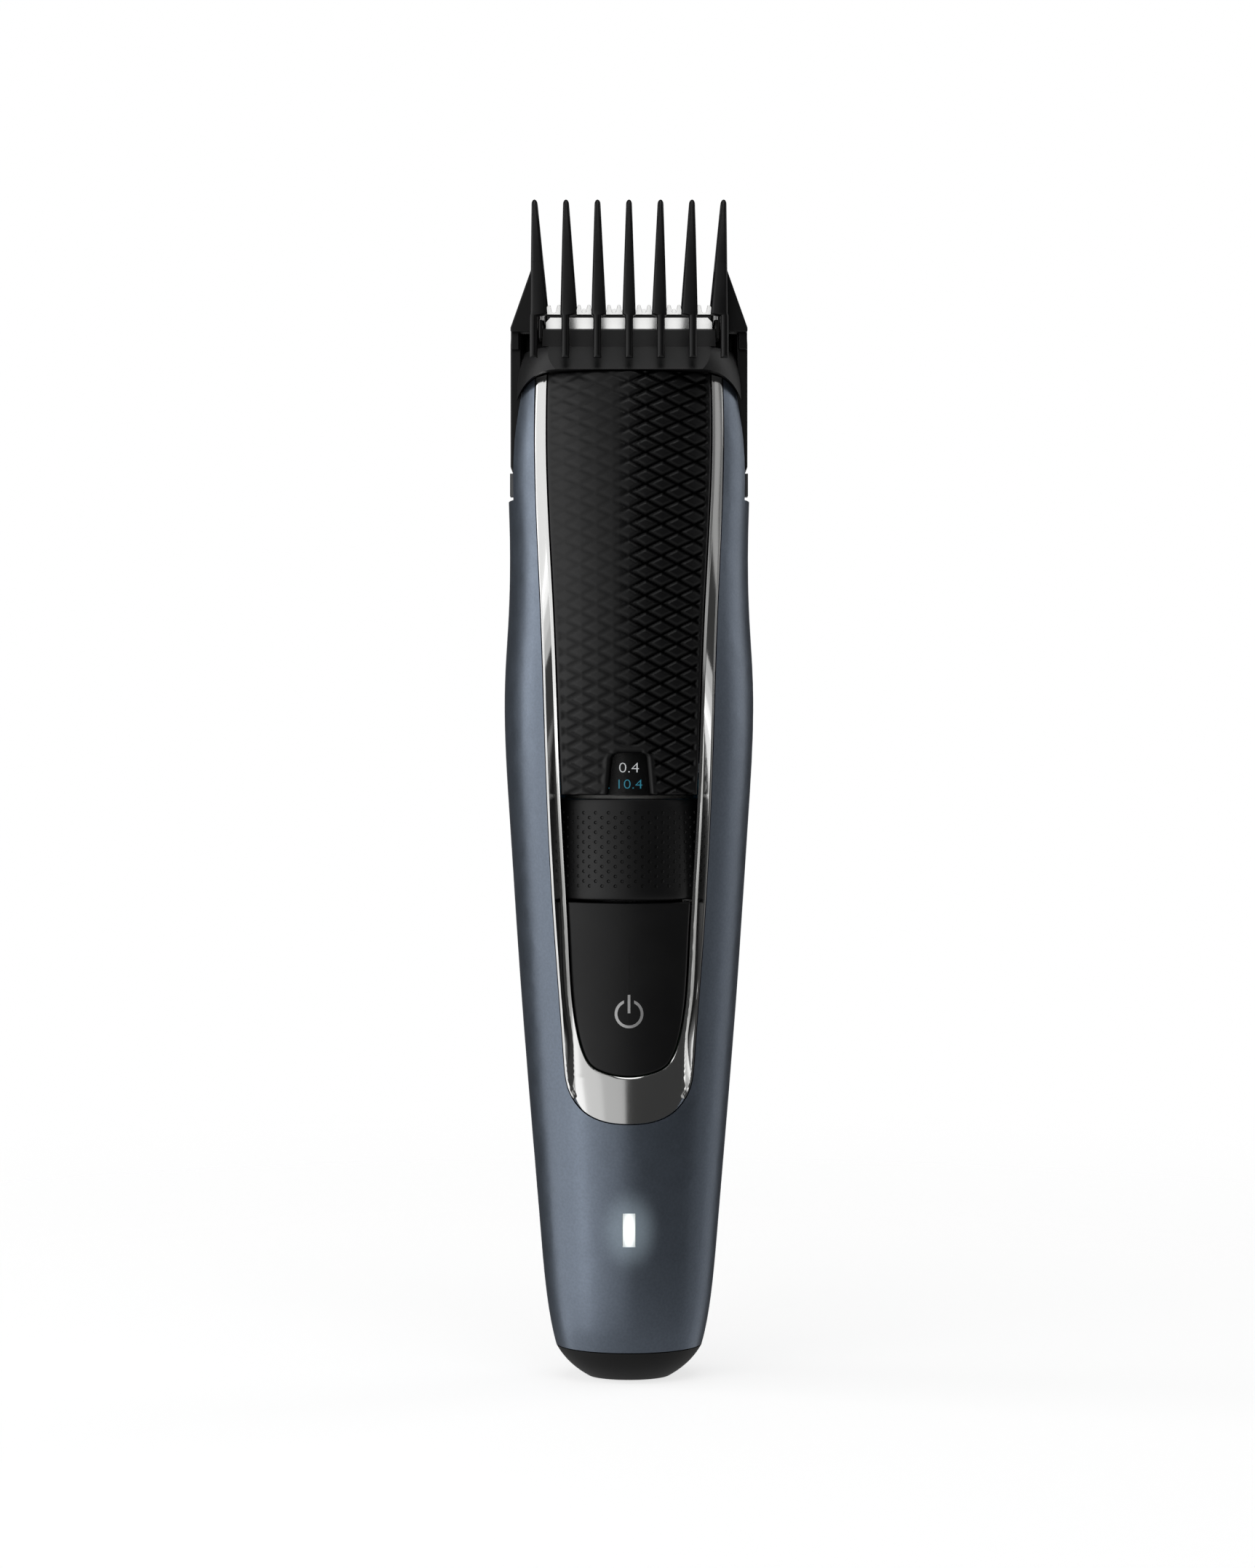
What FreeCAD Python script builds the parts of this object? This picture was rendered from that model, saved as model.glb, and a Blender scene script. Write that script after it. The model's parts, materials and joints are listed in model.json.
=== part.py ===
import FreeCAD, Part
import os
from math import cos, radians, sin

import Sketcher
from FreeCAD import Placement, Rotation, Vector

# Cordless beard trimmer, in millimetres. The origin is the centre of the flat foot under the end
# cap, +Z runs up the handle to the tips of the comb, the front (panel, wheel, button) faces -Y
# and +X is to the right. The comb stands at its shortest cutting length.

doc = FreeCAD.newDocument("beard_trimmer")
sheet = doc.addObject("Spreadsheet::Sheet", "dims")
parts = []


class Size(float):
    """A sheet cell, or a formula on cells: a number that also knows its expression."""

    def __new__(cls, number, text):
        size = float.__new__(cls, number)
        size.text = text
        return size

    def __add__(self, other):
        return Size(float(self) + float(other), f"({text(self)} + {text(other)})")

    def __sub__(self, other):
        return Size(float(self) - float(other), f"({text(self)} - {text(other)})")

    def __mul__(self, other):
        return Size(float(self) * float(other), f"({text(self)} * {text(other)})")

    def __rsub__(self, other):
        return Size(float(other) - float(self), f"({text(other)} - {text(self)})")

    def __neg__(self):
        return Size(-float(self), f"(0 - {text(self)})")

    __radd__ = __add__
    __rmul__ = __mul__


def text(size):
    return size.text if isinstance(size, Size) else repr(float(size))


def cell(alias, number, note):
    """Put one driving dimension on the sheet, and return it."""
    cell.row += 1
    sheet.set(f"A{cell.row}", note)
    sheet.set(f"B{cell.row}", str(number))
    sheet.setAlias(f"B{cell.row}", alias)
    return Size(number, "dims." + alias)


cell.row = 0


def cell_rows(prefix, fields, rows):
    """Put a short table on the sheet, one alias for each value, and return its rows."""
    table = []
    for count, row in enumerate(rows, 1):
        table.append([cell(f"{prefix}_{count}_{field}", number, f"{prefix} {count}: {field}")
                      for field, number in zip(fields, row)])
    return table


# Driving dimensions

overall_height = cell("overall_height", 188.2, "comb tips above the foot")
wall = cell("wall", 1.7, "thickness of the two housings")
seam_gap = cell("seam_gap", 0.15, "gap along each visible joint line")
seam_depth = cell("seam_depth", 1.0, "housing split line behind the widest line")
cap_top = cell("cap_top", 5.0, "end cap joint above the foot")
shoulder_height = cell("shoulder_height", 154.9, "lower edge of the black collar at the sides")
shoulder_radius = cell("shoulder_radius", 5.7, "round corner of the collar joint, seen from the front")
shoulder_centre = cell("shoulder_centre", 12.5, "centre of that round corner from the middle")
panel_top = shoulder_height + shoulder_radius

# Handle sections: ellipses of these half widths and half depths. The sunk depth is how far the
# button, wheel bezel and panel lie below the housing's own surface.
levels = cell_rows("level", ("height", "width", "depth", "sunk"), [
    (5.0, 11.75, 9.2, 0.0),
    (12.0, 13.15, 10.6, 0.0),
    (24.0, 14.35, 11.9, 0.8),
    (42.0, 15.85, 13.3, 1.6),
    (65.0, 17.65, 14.7, 3.0),
    (90.0, 19.3, 16.1, 2.8),
    (112.0, 20.05, 16.9, 1.3),
    (122.0, 19.5, 16.7, 0.7),
    (136.0, 19.3, 16.1, 0.3),
    (152.0, 19.2, 14.9, 0.3),
    (166.0, 17.6, 12.6, 0.3),
])
cap_levels = cell_rows("cap", ("height", "width", "depth"), [
    (0.0, 6.6, 4.8),
    (1.1, 8.3, 6.3),
    (2.6, 10.0, 7.8),
    (5.0, 11.75, 9.2),
])

# Right-hand halves of the steel trim's two outlines, from the top down to the middle
trim_outer = cell_rows("trim_outer", ("side", "height"), [
    (14.7, 166.0), (15.1, 150.0), (14.0, 121.0), (13.05, 93.6), (11.75, 70.0),
    (10.4, 51.7), (9.65, 47.1), (6.95, 43.5), (4.0, 42.2), (0.0, 41.8),
])
trim_inner = cell_rows("trim_inner", ("side", "height"), [
    (12.9, 166.0), (13.15, 150.0), (11.85, 121.0), (10.85, 93.6), (9.6, 70.0),
    (8.1, 55.4), (7.2, 52.6), (6.0, 50.8), (4.4, 49.9), (0.0, 49.1),
])
panel_thickness = cell("panel_thickness", 1.5, "front panel and power button")
trim_thickness = cell("trim_thickness", 2.6, "steel trim, front to back")

wheel_axis = cell("wheel_axis", -1.2, "wheel and drum axis, front to back")
wheel_radius = cell("wheel_radius", 12.8, "zoom wheel")
wheel_low = cell("wheel_low", 77.2, "zoom wheel, lower face")
wheel_high = cell("wheel_high", 93.2, "zoom wheel, upper face")
journal_radius = cell("journal_radius", 5.3, "spigot that the wheel and drum turn on")
running_gap = cell("running_gap", 0.05, "radial clearance of the running fits")
drum_radius = cell("drum_radius", 10.3, "lead drum")
drum_high = cell("drum_high", 119.3, "lead drum, upper face")
lead_rise = cell("lead_rise", 9.6, "comb travel over the wheel's whole turn")
lead_angle = cell("lead_angle", 330.0, "whole turn of the wheel, degrees")
lead_spare = cell("lead_spare", 8.0, "groove length past the pin at both ends, degrees")
pin_radius = cell("pin_radius", 1.0, "follower pin")
pin_height = cell("pin_height", 103.3, "follower pin at the lowest setting")
groove_floor = cell("groove_floor", 8.95, "radius of the floor of the drum's groove")
groove_half = cell("groove_half", 1.2, "half width of the drum's groove")
band_radius = cell("band_radius", 10.9, "number band")
band_high = cell("band_high", 100.6, "number band, upper edge")

window_low = cell("window_low", 94.0, "window, lower edge")
window_height = cell("window_height", 6.3, "window height")
window_foot = cell("window_foot", 3.2, "window half width at its lower edge")
window_head = cell("window_head", 2.6, "window half width at its upper edge")

button_low = cell("button_low", 40.0, "power button, below its round lower end")
button_high = cell("button_high", 76.8, "power button, upper edge")
symbol_height = cell("symbol_height", 59.2, "middle of the power symbol and its switch")
plunger_radius = cell("plunger_radius", 1.2, "switch plunger")
board_front = cell("board_front", -6.6, "circuit board, front face")
board_back = cell("board_back", -5.4, "circuit board, back face")
board_half = cell("board_half", 8.2, "circuit board half width")
light_low = cell("light_low", 22.4, "charge light, lower edge")
light_high = cell("light_high", 27.7, "charge light, upper edge")
light_half = cell("light_half", 1.0, "charge light half width")

floor_low = cell("floor_low", 74.6, "floor under the zoom wheel, lower face")
floor_high = cell("floor_high", 76.2, "floor under the zoom wheel, upper face")
deck_low = cell("deck_low", 120.8, "motor deck, lower face")
deck_high = cell("deck_high", 122.4, "motor deck, upper face")
spine_back = cell("spine_back", -4.1, "back face of the spine that carries the board")
yoke_low = cell("yoke_low", 101.5, "slider yoke, lower face")
yoke_high = cell("yoke_high", 106.0, "slider yoke, upper face")
yoke_radius = cell("yoke_radius", 14.6, "slider yoke, outside")
yoke_bore = cell("yoke_bore", 11.4, "slider yoke, inside")

cell_radius = cell("cell_radius", 7.0, "battery cell")
cell_low = cell("cell_low", 27.0, "battery cell, lower end")
cell_length = cell("cell_length", 43.0, "battery cell")
cell_axis = cell("cell_axis", 3.2, "battery axis, front to back")

motor_axis = cell("motor_axis", -3.0, "motor axis, front to back")
motor_radius = cell("motor_radius", 8.0, "motor can")
motor_low = cell("motor_low", 122.6, "motor, lower face")
motor_high = cell("motor_high", 147.0, "motor, upper face")
shaft_radius = cell("shaft_radius", 1.0, "motor shaft")
eccentric = cell("eccentric", 0.8, "offset of the cam pin from the shaft")
cam_pin_radius = cell("cam_pin_radius", 0.6, "cam pin")

rail_inner = cell("rail_inner", 13.6, "slider rail, inner face")
rail_outer = cell("rail_outer", 15.3, "slider rail, outer face")
rail_half = cell("rail_half", 3.5, "slider rail half width, front to back")
rail_high = cell("rail_high", 147.5, "slider rail, upper end")
guide_inner = cell("guide_inner", 15.7, "frame guide, inner face")
guide_outer = cell("guide_outer", 16.8, "frame guide, outer face")
lead_radius = cell("lead_radius", 0.55, "insulated wire")
lead_bend = cell("lead_bend", 1.2, "bend radius of the wires")
lead_side = cell("lead_side", 2.7, "motor leads from the middle")
lead_height = cell("lead_height", 72.4, "motor leads where they leave the board")

arm_inner = cell("arm_inner", 17.2, "comb arm, inner face")
arm_outer = cell("arm_outer", 19.0, "comb arm, outer face")
arm_half = cell("arm_half", 4.3, "comb arm half width, front to back")
arm_low = cell("arm_low", 145.8, "comb arm, lower end")
channel_half = cell("channel_half", 4.8, "guide channel half width")
channel_low = cell("channel_low", 141.0, "lower end of the guide channel")
lug_low = cell("lug_low", 142.0, "slider lug, lower face")
lug_high = cell("lug_high", 145.6, "slider lug, upper face")

fin_pitch = cell("fin_pitch", 5.0, "distance between the comb's fins")
fin_low = cell("fin_low", 169.4, "lower end of the fins' full thickness")
fin_tip = cell("fin_tip", 0.45, "half thickness of a fin at its tip")
leg_half = cell("leg_half", 0.62, "half thickness of a fin's front leg")
# Half thickness of the fins at their lower end, from the middle fin out, on their two sides
fin_roots = cell_rows("fin_root", ("outside", "inside"), [
    (1.05, 1.05), (0.93, 1.42), (0.8, 1.8), (0.5, 2.15),
])

head_half = cell("head_half", 13.7, "cutting unit half width")
neck_half = cell("neck_half", 12.6, "half width of the cutting unit's neck in the collar")
collar_top = cell("collar_top", 164.6, "upper face of the collar")
blade_lean = cell("blade_lean", 25.0, "backward lean of the blades, degrees")
blade_foot_y = cell("blade_foot_y", -8.4, "front face of the guard blade at its foot")
blade_foot_z = cell("blade_foot_z", 166.5, "foot of the guard blade above the origin")
blade_half = cell("blade_half", 13.3, "guard blade half width")
blade_length = cell("blade_length", 6.3, "guard blade from foot to tooth tips")
tooth_pitch = cell("tooth_pitch", 1.6, "distance between teeth")
tooth_slot = cell("tooth_slot", 0.85, "gap between teeth")
tooth_root = cell("tooth_root", 4.4, "root of the teeth above the blade's foot")
guard_back = cell("guard_back", 0.6, "guard blade thickness")
cutter_back = cell("cutter_back", 1.15, "back of the cutter behind the guard's front face")
cutter_low = cell("cutter_low", 0.9, "lower edge of the cutter above the guard's foot")

grip_half = cell("grip_half", 11.0, "rear grip pad half width")
grip_low = cell("grip_low", 34.0, "rear grip pad, lower edge")
grip_high = cell("grip_high", 138.0, "rear grip pad, upper edge")
grip_proud = cell("grip_proud", 0.4, "grip pad above the housing")
grip_seat = cell("grip_seat", 1.0, "depth of the pad's recess")

FAR = 40.0


# Helpers: every size and place is an expression on the sheet

def bind(thing, **formulas):
    for name, size in formulas.items():
        thing.setExpression(name, text(size))


def place(thing, x=0.0, y=0.0, z=0.0):
    for axis, size in zip("xyz", (x, y, z)):
        thing.setExpression("Placement.Base." + axis, text(size))


def block(name, x, y, z):
    """Box between a low and a high size on each axis."""
    box = doc.addObject("Part::Box", name)
    for side, (low, high) in zip(("Length", "Width", "Height"), (x, y, z)):
        box.setExpression(side, f"{text(high)} - {text(low)}")
    place(box, x[0], y[0], z[0])
    return box


def rod(name, radius, centre, low, high, along="z"):
    """Cylinder along z at centre (x, y), or along y at centre (x, z)."""
    thing = doc.addObject("Part::Cylinder", name)
    bind(thing, Radius=radius)
    thing.setExpression("Height", f"{text(high)} - {text(low)}")
    if along == "z":
        place(thing, centre[0], centre[1], low)
    else:
        thing.Placement = Placement(Vector(), Rotation(Vector(1, 0, 0), -90))
        place(thing, centre[0], low, centre[1])
    return thing


def fuse(name, *pieces):
    thing = doc.addObject("Part::MultiFuse", name)
    thing.Shapes = list(pieces)
    thing.Refine = False
    return thing


def cut(name, base, *tools):
    thing = doc.addObject("Part::Cut", name)
    thing.Base = base
    thing.Tool = tools[0] if len(tools) == 1 else fuse(name + "_tools", *tools)
    thing.Refine = False
    return thing


def common(name, *pieces):
    thing = doc.addObject("Part::MultiCommon", name)
    thing.Shapes = list(pieces)
    thing.Refine = False
    return thing


def group(name, *pieces):
    """Several separate solids of one kind."""
    thing = doc.addObject("Part::Compound", name)
    thing.Links = list(pieces)
    return thing


def both_sides(make):
    """The right-hand and the left-hand copy of a piece made by make(name suffix, sign)."""
    return [make("right", 1), make("left", -1)]


def sub_part(label, thing):
    thing.Label = label
    parts.append(thing)
    return thing


def origin_plane(body, role):
    return next(plane for plane in body.Origin.OriginFeatures if plane.Role == role)


def sketch_on(body, name, role, corners):
    """Closed polygon on one of the body's own planes, each corner held by two bound distances."""
    sketch = body.newObject("Sketcher::SketchObject", name)
    sketch.AttachmentSupport = [(origin_plane(body, role), "")]
    sketch.MapMode = "FlatFace"
    add_polygon(sketch, corners)
    return sketch


def add_polygon(sketch, corners):
    first = sketch.GeometryCount
    count = len(corners)
    for index, (u, v) in enumerate(corners):
        after = corners[(index + 1) % count]
        sketch.addGeometry(Part.LineSegment(Vector(u, v, 0), Vector(after[0], after[1], 0)))
    for index in range(count):
        line, next_line = first + index, first + (index + 1) % count
        sketch.addConstraint(Sketcher.Constraint("Coincident", line, 2, next_line, 1))
    for index, corner in enumerate(corners):
        for kind, axis, size in zip(("DistanceX", "DistanceY"), (-2, -1), corner):
            if float(size) == 0.0:
                sketch.addConstraint(Sketcher.Constraint("PointOnObject", first + index, 1, axis))
                continue
            spot = sketch.addConstraint(
                Sketcher.Constraint(kind, -1, 1, first + index, 1, float(size)))
            if isinstance(size, Size):
                sketch.setExpression(f"Constraints[{spot}]", size.text)


def prism(name, role, corners, low, high):
    """Body padded from a polygon: along -Y from the XZ plane, or along +X from the YZ plane."""
    body = doc.addObject("PartDesign::Body", name)
    sketch = sketch_on(body, name + "_sketch", role, corners)
    pad = body.newObject("PartDesign::Pad", name + "_pad")
    pad.Profile = sketch
    pad.setExpression("Length", f"{text(high)} - {text(low)}")
    if role == "XZ_Plane":
        place(body, y=-low)
    else:
        place(body, x=low)
    return body


def turned(name, corners, centre_y=0.0):
    """Body revolved about a vertical axis from a half section of (radius, height) corners."""
    body = doc.addObject("PartDesign::Body", name)
    sketch = sketch_on(body, name + "_sketch", "XZ_Plane", corners)
    turn = body.newObject("PartDesign::Revolution", name + "_turn")
    turn.Profile = sketch
    turn.ReferenceAxis = (sketch, ["V_Axis"])
    turn.Angle = 360.0
    body.setExpression("Placement.Base.y", text(centre_y))
    return body


def hull(name, rows, inset=0.0, sink=0.0, ruled=False):
    """Solid through one ellipse for each row, drawn in by inset and flattened by sink times sunk."""
    rings = []
    for count, row in enumerate(rows, 1):
        ring = doc.addObject("Part::Ellipse", f"{name}_ring_{count}")
        bind(ring, MajorRadius=row[1] - inset)
        depth = row[2] - inset
        bind(ring, MinorRadius=depth - row[3] * sink if sink else depth)
        place(ring, z=row[0])
        rings.append(ring)
    loft = doc.addObject("Part::Loft", name)
    loft.Sections = rings
    loft.Solid = True
    loft.Ruled = ruled
    return loft


def u_prism(name, side, grow=0.0):
    """Solid through the front wall whose outline is a smooth U: side is its right-hand half."""
    right = [Vector(row[0] + grow * (row[0] > 0), -FAR, row[1] - grow * (row[0] < 5))
             for row in side]
    left = [Vector(-point.x, point.y, point.z) for point in reversed(right[:-1])]
    curve = Part.BSplineCurve()
    curve.interpolate(right + left)
    top = Part.LineSegment(left[-1], right[0])
    face = Part.Face(Part.Wire([curve.toShape(), top.toShape()]))
    thing = doc.addObject("Part::Feature", name)
    thing.Shape = face.extrude(Vector(0, FAR, 0))
    return thing


doc.recompute()

# Master shapes of the handle

outer_hull = hull("outer_hull", levels)
inner_hull = hull("inner_hull", levels, inset=wall)
frame_hull = hull("frame_hull", levels, inset=wall + 0.3)
face_hull = hull("face_hull", levels, sink=1.0)
face_back = hull("face_back", levels, inset=panel_thickness, sink=1.0)
trim_hull = hull("trim_hull", levels, sink=0.5)
trim_back = hull("trim_back", levels, inset=trim_thickness, sink=0.5)
front_opening = u_prism("front_opening", trim_outer)


def joint_limit(name, gap):
    """Everything below the collar joint: flat on top, with a round corner on each side."""
    radius = shoulder_radius + gap
    corners = both_sides(lambda side, sign: rod(
        f"{name}_corner_{side}", radius, (shoulder_centre * sign, shoulder_height), -FAR, FAR, "y"))
    middle = block(name + "_middle", (-shoulder_centre, shoulder_centre), (-FAR, FAR),
                   (shoulder_height - 5.0, shoulder_height + radius))
    below = block(name + "_below", (-FAR, FAR), (-FAR, FAR), (cap_top - 1.0, shoulder_height + gap))
    return fuse(name, middle, below, *corners)


housing_limit = joint_limit("housing_limit", 0.0)
collar_limit = joint_limit("collar_limit", seam_gap)
side_channel = block("side_channel", (-FAR, FAR), (-channel_half, channel_half),
                     (channel_low, FAR * 5))


# Housings

def front_housing():
    shell = cut("front_shell", outer_hull, inner_hull)
    half = block("front_half", (-FAR, FAR), (-FAR, seam_depth), (cap_top + seam_gap, FAR * 5))
    light_hole = block("light_hole", (-light_half - 0.05, light_half + 0.05), (-FAR, 0.0),
                       (light_low - 0.05, light_high + 0.05))
    kept = common("front_shell_half", shell, half, housing_limit)
    sub_part("front_housing", cut("front_housing", kept, front_opening, side_channel, light_hole))


def grip_outline(name, grow):
    """Prism of the rear pad: a rectangle with half-round ends."""
    half = grip_half + grow
    ends = [rod(f"{name}_{which}", half, (0.0, height), 2.0, FAR, "y")
            for which, height in (("low", grip_low + grip_half), ("high", grip_high - grip_half))]
    middle = block(name + "_middle", (-half, half), (2.0, FAR),
                   (grip_low + grip_half, grip_high - grip_half))
    return fuse(name, middle, *ends)


def rear_housing():
    shell = cut("rear_shell", outer_hull, inner_hull)
    half = block("rear_half", (-FAR, FAR), (seam_depth + seam_gap, FAR),
                 (cap_top + seam_gap, FAR * 5))
    seat = cut("grip_recess", grip_outline("grip_hole", 0.1), hull("grip_floor", levels, grip_seat))
    kept = common("rear_shell_half", shell, half, housing_limit)
    sub_part("rear_housing", cut("rear_housing", kept, side_channel, seat))


def rear_grip():
    skin = cut("grip_skin", hull("grip_skin_outer", levels, -grip_proud),
               hull("grip_skin_inner", levels, grip_seat - 0.05))
    sub_part("rear_grip", common("rear_grip", skin, grip_outline("grip_pad_outline", 0.0)))


def racetrack(name, half_length, radius, low, high):
    """Vertical block with round ends along X."""
    flat = half_length - radius
    ends = both_sides(
        lambda side, sign: rod(f"{name}_{side}", radius, (flat * sign, 0.0), low, high))
    return fuse(name, block(name + "_flat", (-flat, flat), (-radius, radius), (low, high)), *ends)


socket_half = cell("socket_half", 4.7, "charging socket recess half width")
socket_radius = cell("socket_radius", 2.5, "charging socket recess end radius")
socket_wall = cell("socket_wall", 1.1, "charging socket body wall")
socket_seat = cell("socket_seat", 1.2, "end cap thickness in front of the socket body")


def end_cap():
    dome = hull("cap_dome", cap_levels)
    plug = common("cap_plug", hull("cap_plug_hull", levels, wall + 0.1),
                  block("cap_plug_limit", (-FAR, FAR), (-FAR, FAR), (cap_top, cap_top + 4.5)))
    groove = cut("seal_groove", block("seal_groove_limit", (-FAR, FAR), (-FAR, FAR),
                                      (cap_top + 1.6, cap_top + 3.0)),
                 hull("seal_groove_floor", levels, wall + 1.1))
    mouth = racetrack("socket_mouth", socket_half, socket_radius, -1.0, 12.0)
    seat = racetrack("socket_seat_hole", socket_half + socket_wall + 0.1,
                     socket_radius + socket_wall + 0.1, socket_seat, 12.0)
    sub_part("end_cap", cut("end_cap", fuse("cap_body", dome, plug), groove, mouth, seat))
    ring = cut("cap_seal", common("seal_ring", hull("seal_outer", levels, wall + 0.05),
                                  block("seal_limit", (-FAR, FAR), (-FAR, FAR),
                                        (cap_top + 1.65, cap_top + 2.95))),
               hull("seal_inner", levels, wall + 1.05))
    sub_part("cap_seal", ring)


def charging_socket():
    body = racetrack("socket_body", socket_half + socket_wall, socket_radius + socket_wall,
                     socket_seat, 12.5)
    recess = racetrack("socket_recess", socket_half, socket_radius, 0.0, 9.5)
    holes = both_sides(lambda side, sign: rod(f"socket_pin_hole_{side}", 0.65, (2.2 * sign, 0.0),
                                              9.0, 13.0))
    sub_part("charging_socket", cut("charging_socket", body, recess, *holes))
    pins = both_sides(lambda side, sign: rod(f"socket_pin_{side}", 0.6, (2.2 * sign, 0.0),
                                             5.2, 15.5))
    sub_part("socket_pins", group("socket_pins", *pins))


# Front: trim, panel, window, button and charge light

def trim_frame():
    band = common("trim_band", trim_hull, u_prism("trim_outline", trim_outer, -0.1), housing_limit)
    wheel_room = rod("wheel_room", wheel_radius + 0.3, (0.0, wheel_axis), wheel_low - 0.4,
                     wheel_high + 0.4)
    sub_part("trim_frame", cut("trim_frame", band, trim_back, u_prism("trim_hole", trim_inner),
                               wheel_room))


def window_prism(name, grow):
    top = window_low + window_height + grow
    corners = [(-window_foot - grow, window_low - grow), (window_foot + grow, window_low - grow),
               (window_head + grow, top - 0.7), (window_head + grow - 0.7, top),
               (0.7 - window_head - grow, top), (-window_head - grow, top - 0.7)]
    return prism(name, "XZ_Plane", corners, 0.0, FAR)


def front_panel():
    outline = u_prism("panel_outline", trim_inner, -0.15)
    limit = block("panel_limit", (-FAR, FAR), (-FAR, 0.0), (wheel_high + 0.6, panel_top))
    plate = common("panel_plate", face_hull, outline, limit)
    sub_part("front_panel", cut("front_panel", plate, face_back, window_prism("window_hole", 0.1)))


def window_lens():
    plate = common("lens_plate", hull("lens_front", levels, 0.3, 1.0),
                   window_prism("lens_prism", 0.0))
    sub_part("window_lens", cut("window_lens", plate, hull("lens_back", levels, 1.3, 1.0)))


def power_button():
    outline = u_prism("button_outline", trim_inner, -0.25)
    limit = block("button_limit", (-FAR, FAR), (-FAR, 0.0), (button_low, button_high))
    plate = cut("button_plate", common("button_blank", face_hull, outline, limit), face_back)
    boss = rod("button_boss", 2.0, (0.0, symbol_height), -10.8, -10.0, "y")
    sub_part("power_button", fuse("power_button", plate, boss))


def power_symbol():
    """Ring with a gap at the top and an upright bar, set flush into the button."""
    ring = cut("symbol_ring", rod("symbol_outer", 2.27, (0.0, symbol_height), -FAR, 0.0, "y"),
               rod("symbol_inner", 1.83, (0.0, symbol_height), -FAR, 0.0, "y"),
               block("symbol_gap", (-0.8, 0.8), (-FAR, 0.0), (symbol_height, symbol_height + 3.0)))
    bar = block("symbol_bar", (-0.21, 0.21), (-FAR, 0.0), (symbol_height + 0.1, symbol_height + 3.0))
    skin = cut("symbol_skin", hull("symbol_front", levels, -0.05, 1.0), face_hull)
    mark = common("power_symbol", skin, fuse("symbol_mark", ring, bar))
    sub_part("power_symbol", mark)


def charge_light():
    lens = common("led_lens", outer_hull, block("led_lens_block", (-light_half, light_half),
                                                (-FAR, -9.7), (light_low, light_high)))
    sub_part("led_lens", lens)
    middle = (light_low + light_high) * 0.5
    sub_part("status_led", block("status_led", (-1.0, 1.0), (board_front - 1.1, board_front),
                                 (middle - 1.3, middle + 1.3)))


# Circuit board, switch and battery

def circuit_board():
    plate = block("board_plate", (-board_half, board_half), (board_front, board_back), (20.0, 73.5))
    sub_part("circuit_board", cut("circuit_board", plate, *board_screw_rods("board_hole", 0.9)))


board_screw_heights = (32.0, 66.0)


def board_screw_rods(name, radius):
    return [rod(f"{name}_{height:.0f}", radius, (0.0, height), -7.0, -3.0, "y")
            for height in board_screw_heights]


def board_screws():
    screws = []
    for height in board_screw_heights:
        shank = rod(f"board_screw_shank_{height:.0f}", 0.85, (0.0, height), -6.6, -4.1, "y")
        head = rod(f"board_screw_head_{height:.0f}", 1.6, (0.0, height), -7.5, -6.6, "y")
        recess = block(f"board_screw_slot_{height:.0f}", (-1.2, 1.2), (-7.6, -7.1),
                       (height - 0.2, height + 0.2))
        screws.append(cut(f"board_screw_{height:.0f}", fuse(f"board_screw_body_{height:.0f}",
                                                            shank, head), recess))
    sub_part("board_screws", group("board_screws", *screws))


def switch():
    base = block("switch_block", (-3.0, 3.0), (-8.3, board_front),
                 (symbol_height - 3.0, symbol_height + 3.0))
    bore = rod("switch_bore", plunger_radius + running_gap, (0.0, symbol_height), -8.5, -7.2, "y")
    sub_part("switch_base", cut("switch_base", base, bore))
    sub_part("switch_plunger", rod("switch_plunger", plunger_radius, (0.0, symbol_height),
                                   -9.9, -7.8, "y"))


def battery():
    top = cell_low + cell_length
    body = turned("battery_cell", [
        (0.0, cell_low), (cell_radius - 0.6, cell_low), (cell_radius, cell_low + 0.6),
        (cell_radius, top - 1.6), (cell_radius - 0.6, top - 1.0), (2.5, top - 1.0), (2.5, top),
        (0.0, top)], cell_axis)
    sub_part("battery_cell", body)
    low = block("contact_low", (-3.0, 3.0), (board_back, 6.2), (cell_low - 0.5, cell_low))
    high = block("contact_high", (-3.0, 3.0), (board_back, 6.2), (top, top + 0.5))
    sub_part("battery_contacts", group("battery_contacts", low, high))


# Inner frame, which carries the board, the wheel, the motor and the slider

def inner_frame():
    spine = block("spine", (-board_half - 0.4, board_half + 0.4), (board_back + 0.2, spine_back),
                  (cell_low + 1.0, floor_high))
    contact_slot = block("contact_slot", (-3.2, 3.2), (-6.0, -3.0), (69.8, 70.8))
    lead_holes = both_sides(lambda side, sign: rod(f"lead_hole_{side}", lead_radius + 0.2,
                                                   (lead_side * sign, lead_height), -6.0, -3.0, "y"))
    floor = common("wheel_floor", frame_hull,
                   block("wheel_floor_block", (-FAR, FAR), (-6.9, FAR), (floor_low, floor_high)))
    spigot = rod("spigot", journal_radius, (0.0, wheel_axis), floor_low, deck_high)
    bore = rod("spigot_bore", 4.2, (0.0, wheel_axis), 71.0, deck_high + 1.0)
    deck = common("deck", frame_hull,
                  block("deck_block", (-FAR, FAR), (-7.2, FAR), (deck_low, deck_high)))
    cup = cut("motor_cup",
              rod("motor_cup_wall", motor_radius + 1.3, (0.0, motor_axis), deck_high, 132.0),
              rod("motor_cup_bore", motor_radius + 0.05, (0.0, motor_axis), deck_high, 133.0))
    guides = both_sides(guide)
    slots = both_sides(rail_slot)
    body = fuse("inner_frame_body", spine, floor, spigot, deck, cup, *guides)
    holes = board_screw_rods("frame_hole", 0.85) + motor_screw_rods("deck_hole", 0.85, 119.0, 123.0)
    sub_part("inner_frame", cut("inner_frame", body, bore, contact_slot, *lead_holes, *slots,
                                *holes))


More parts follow.
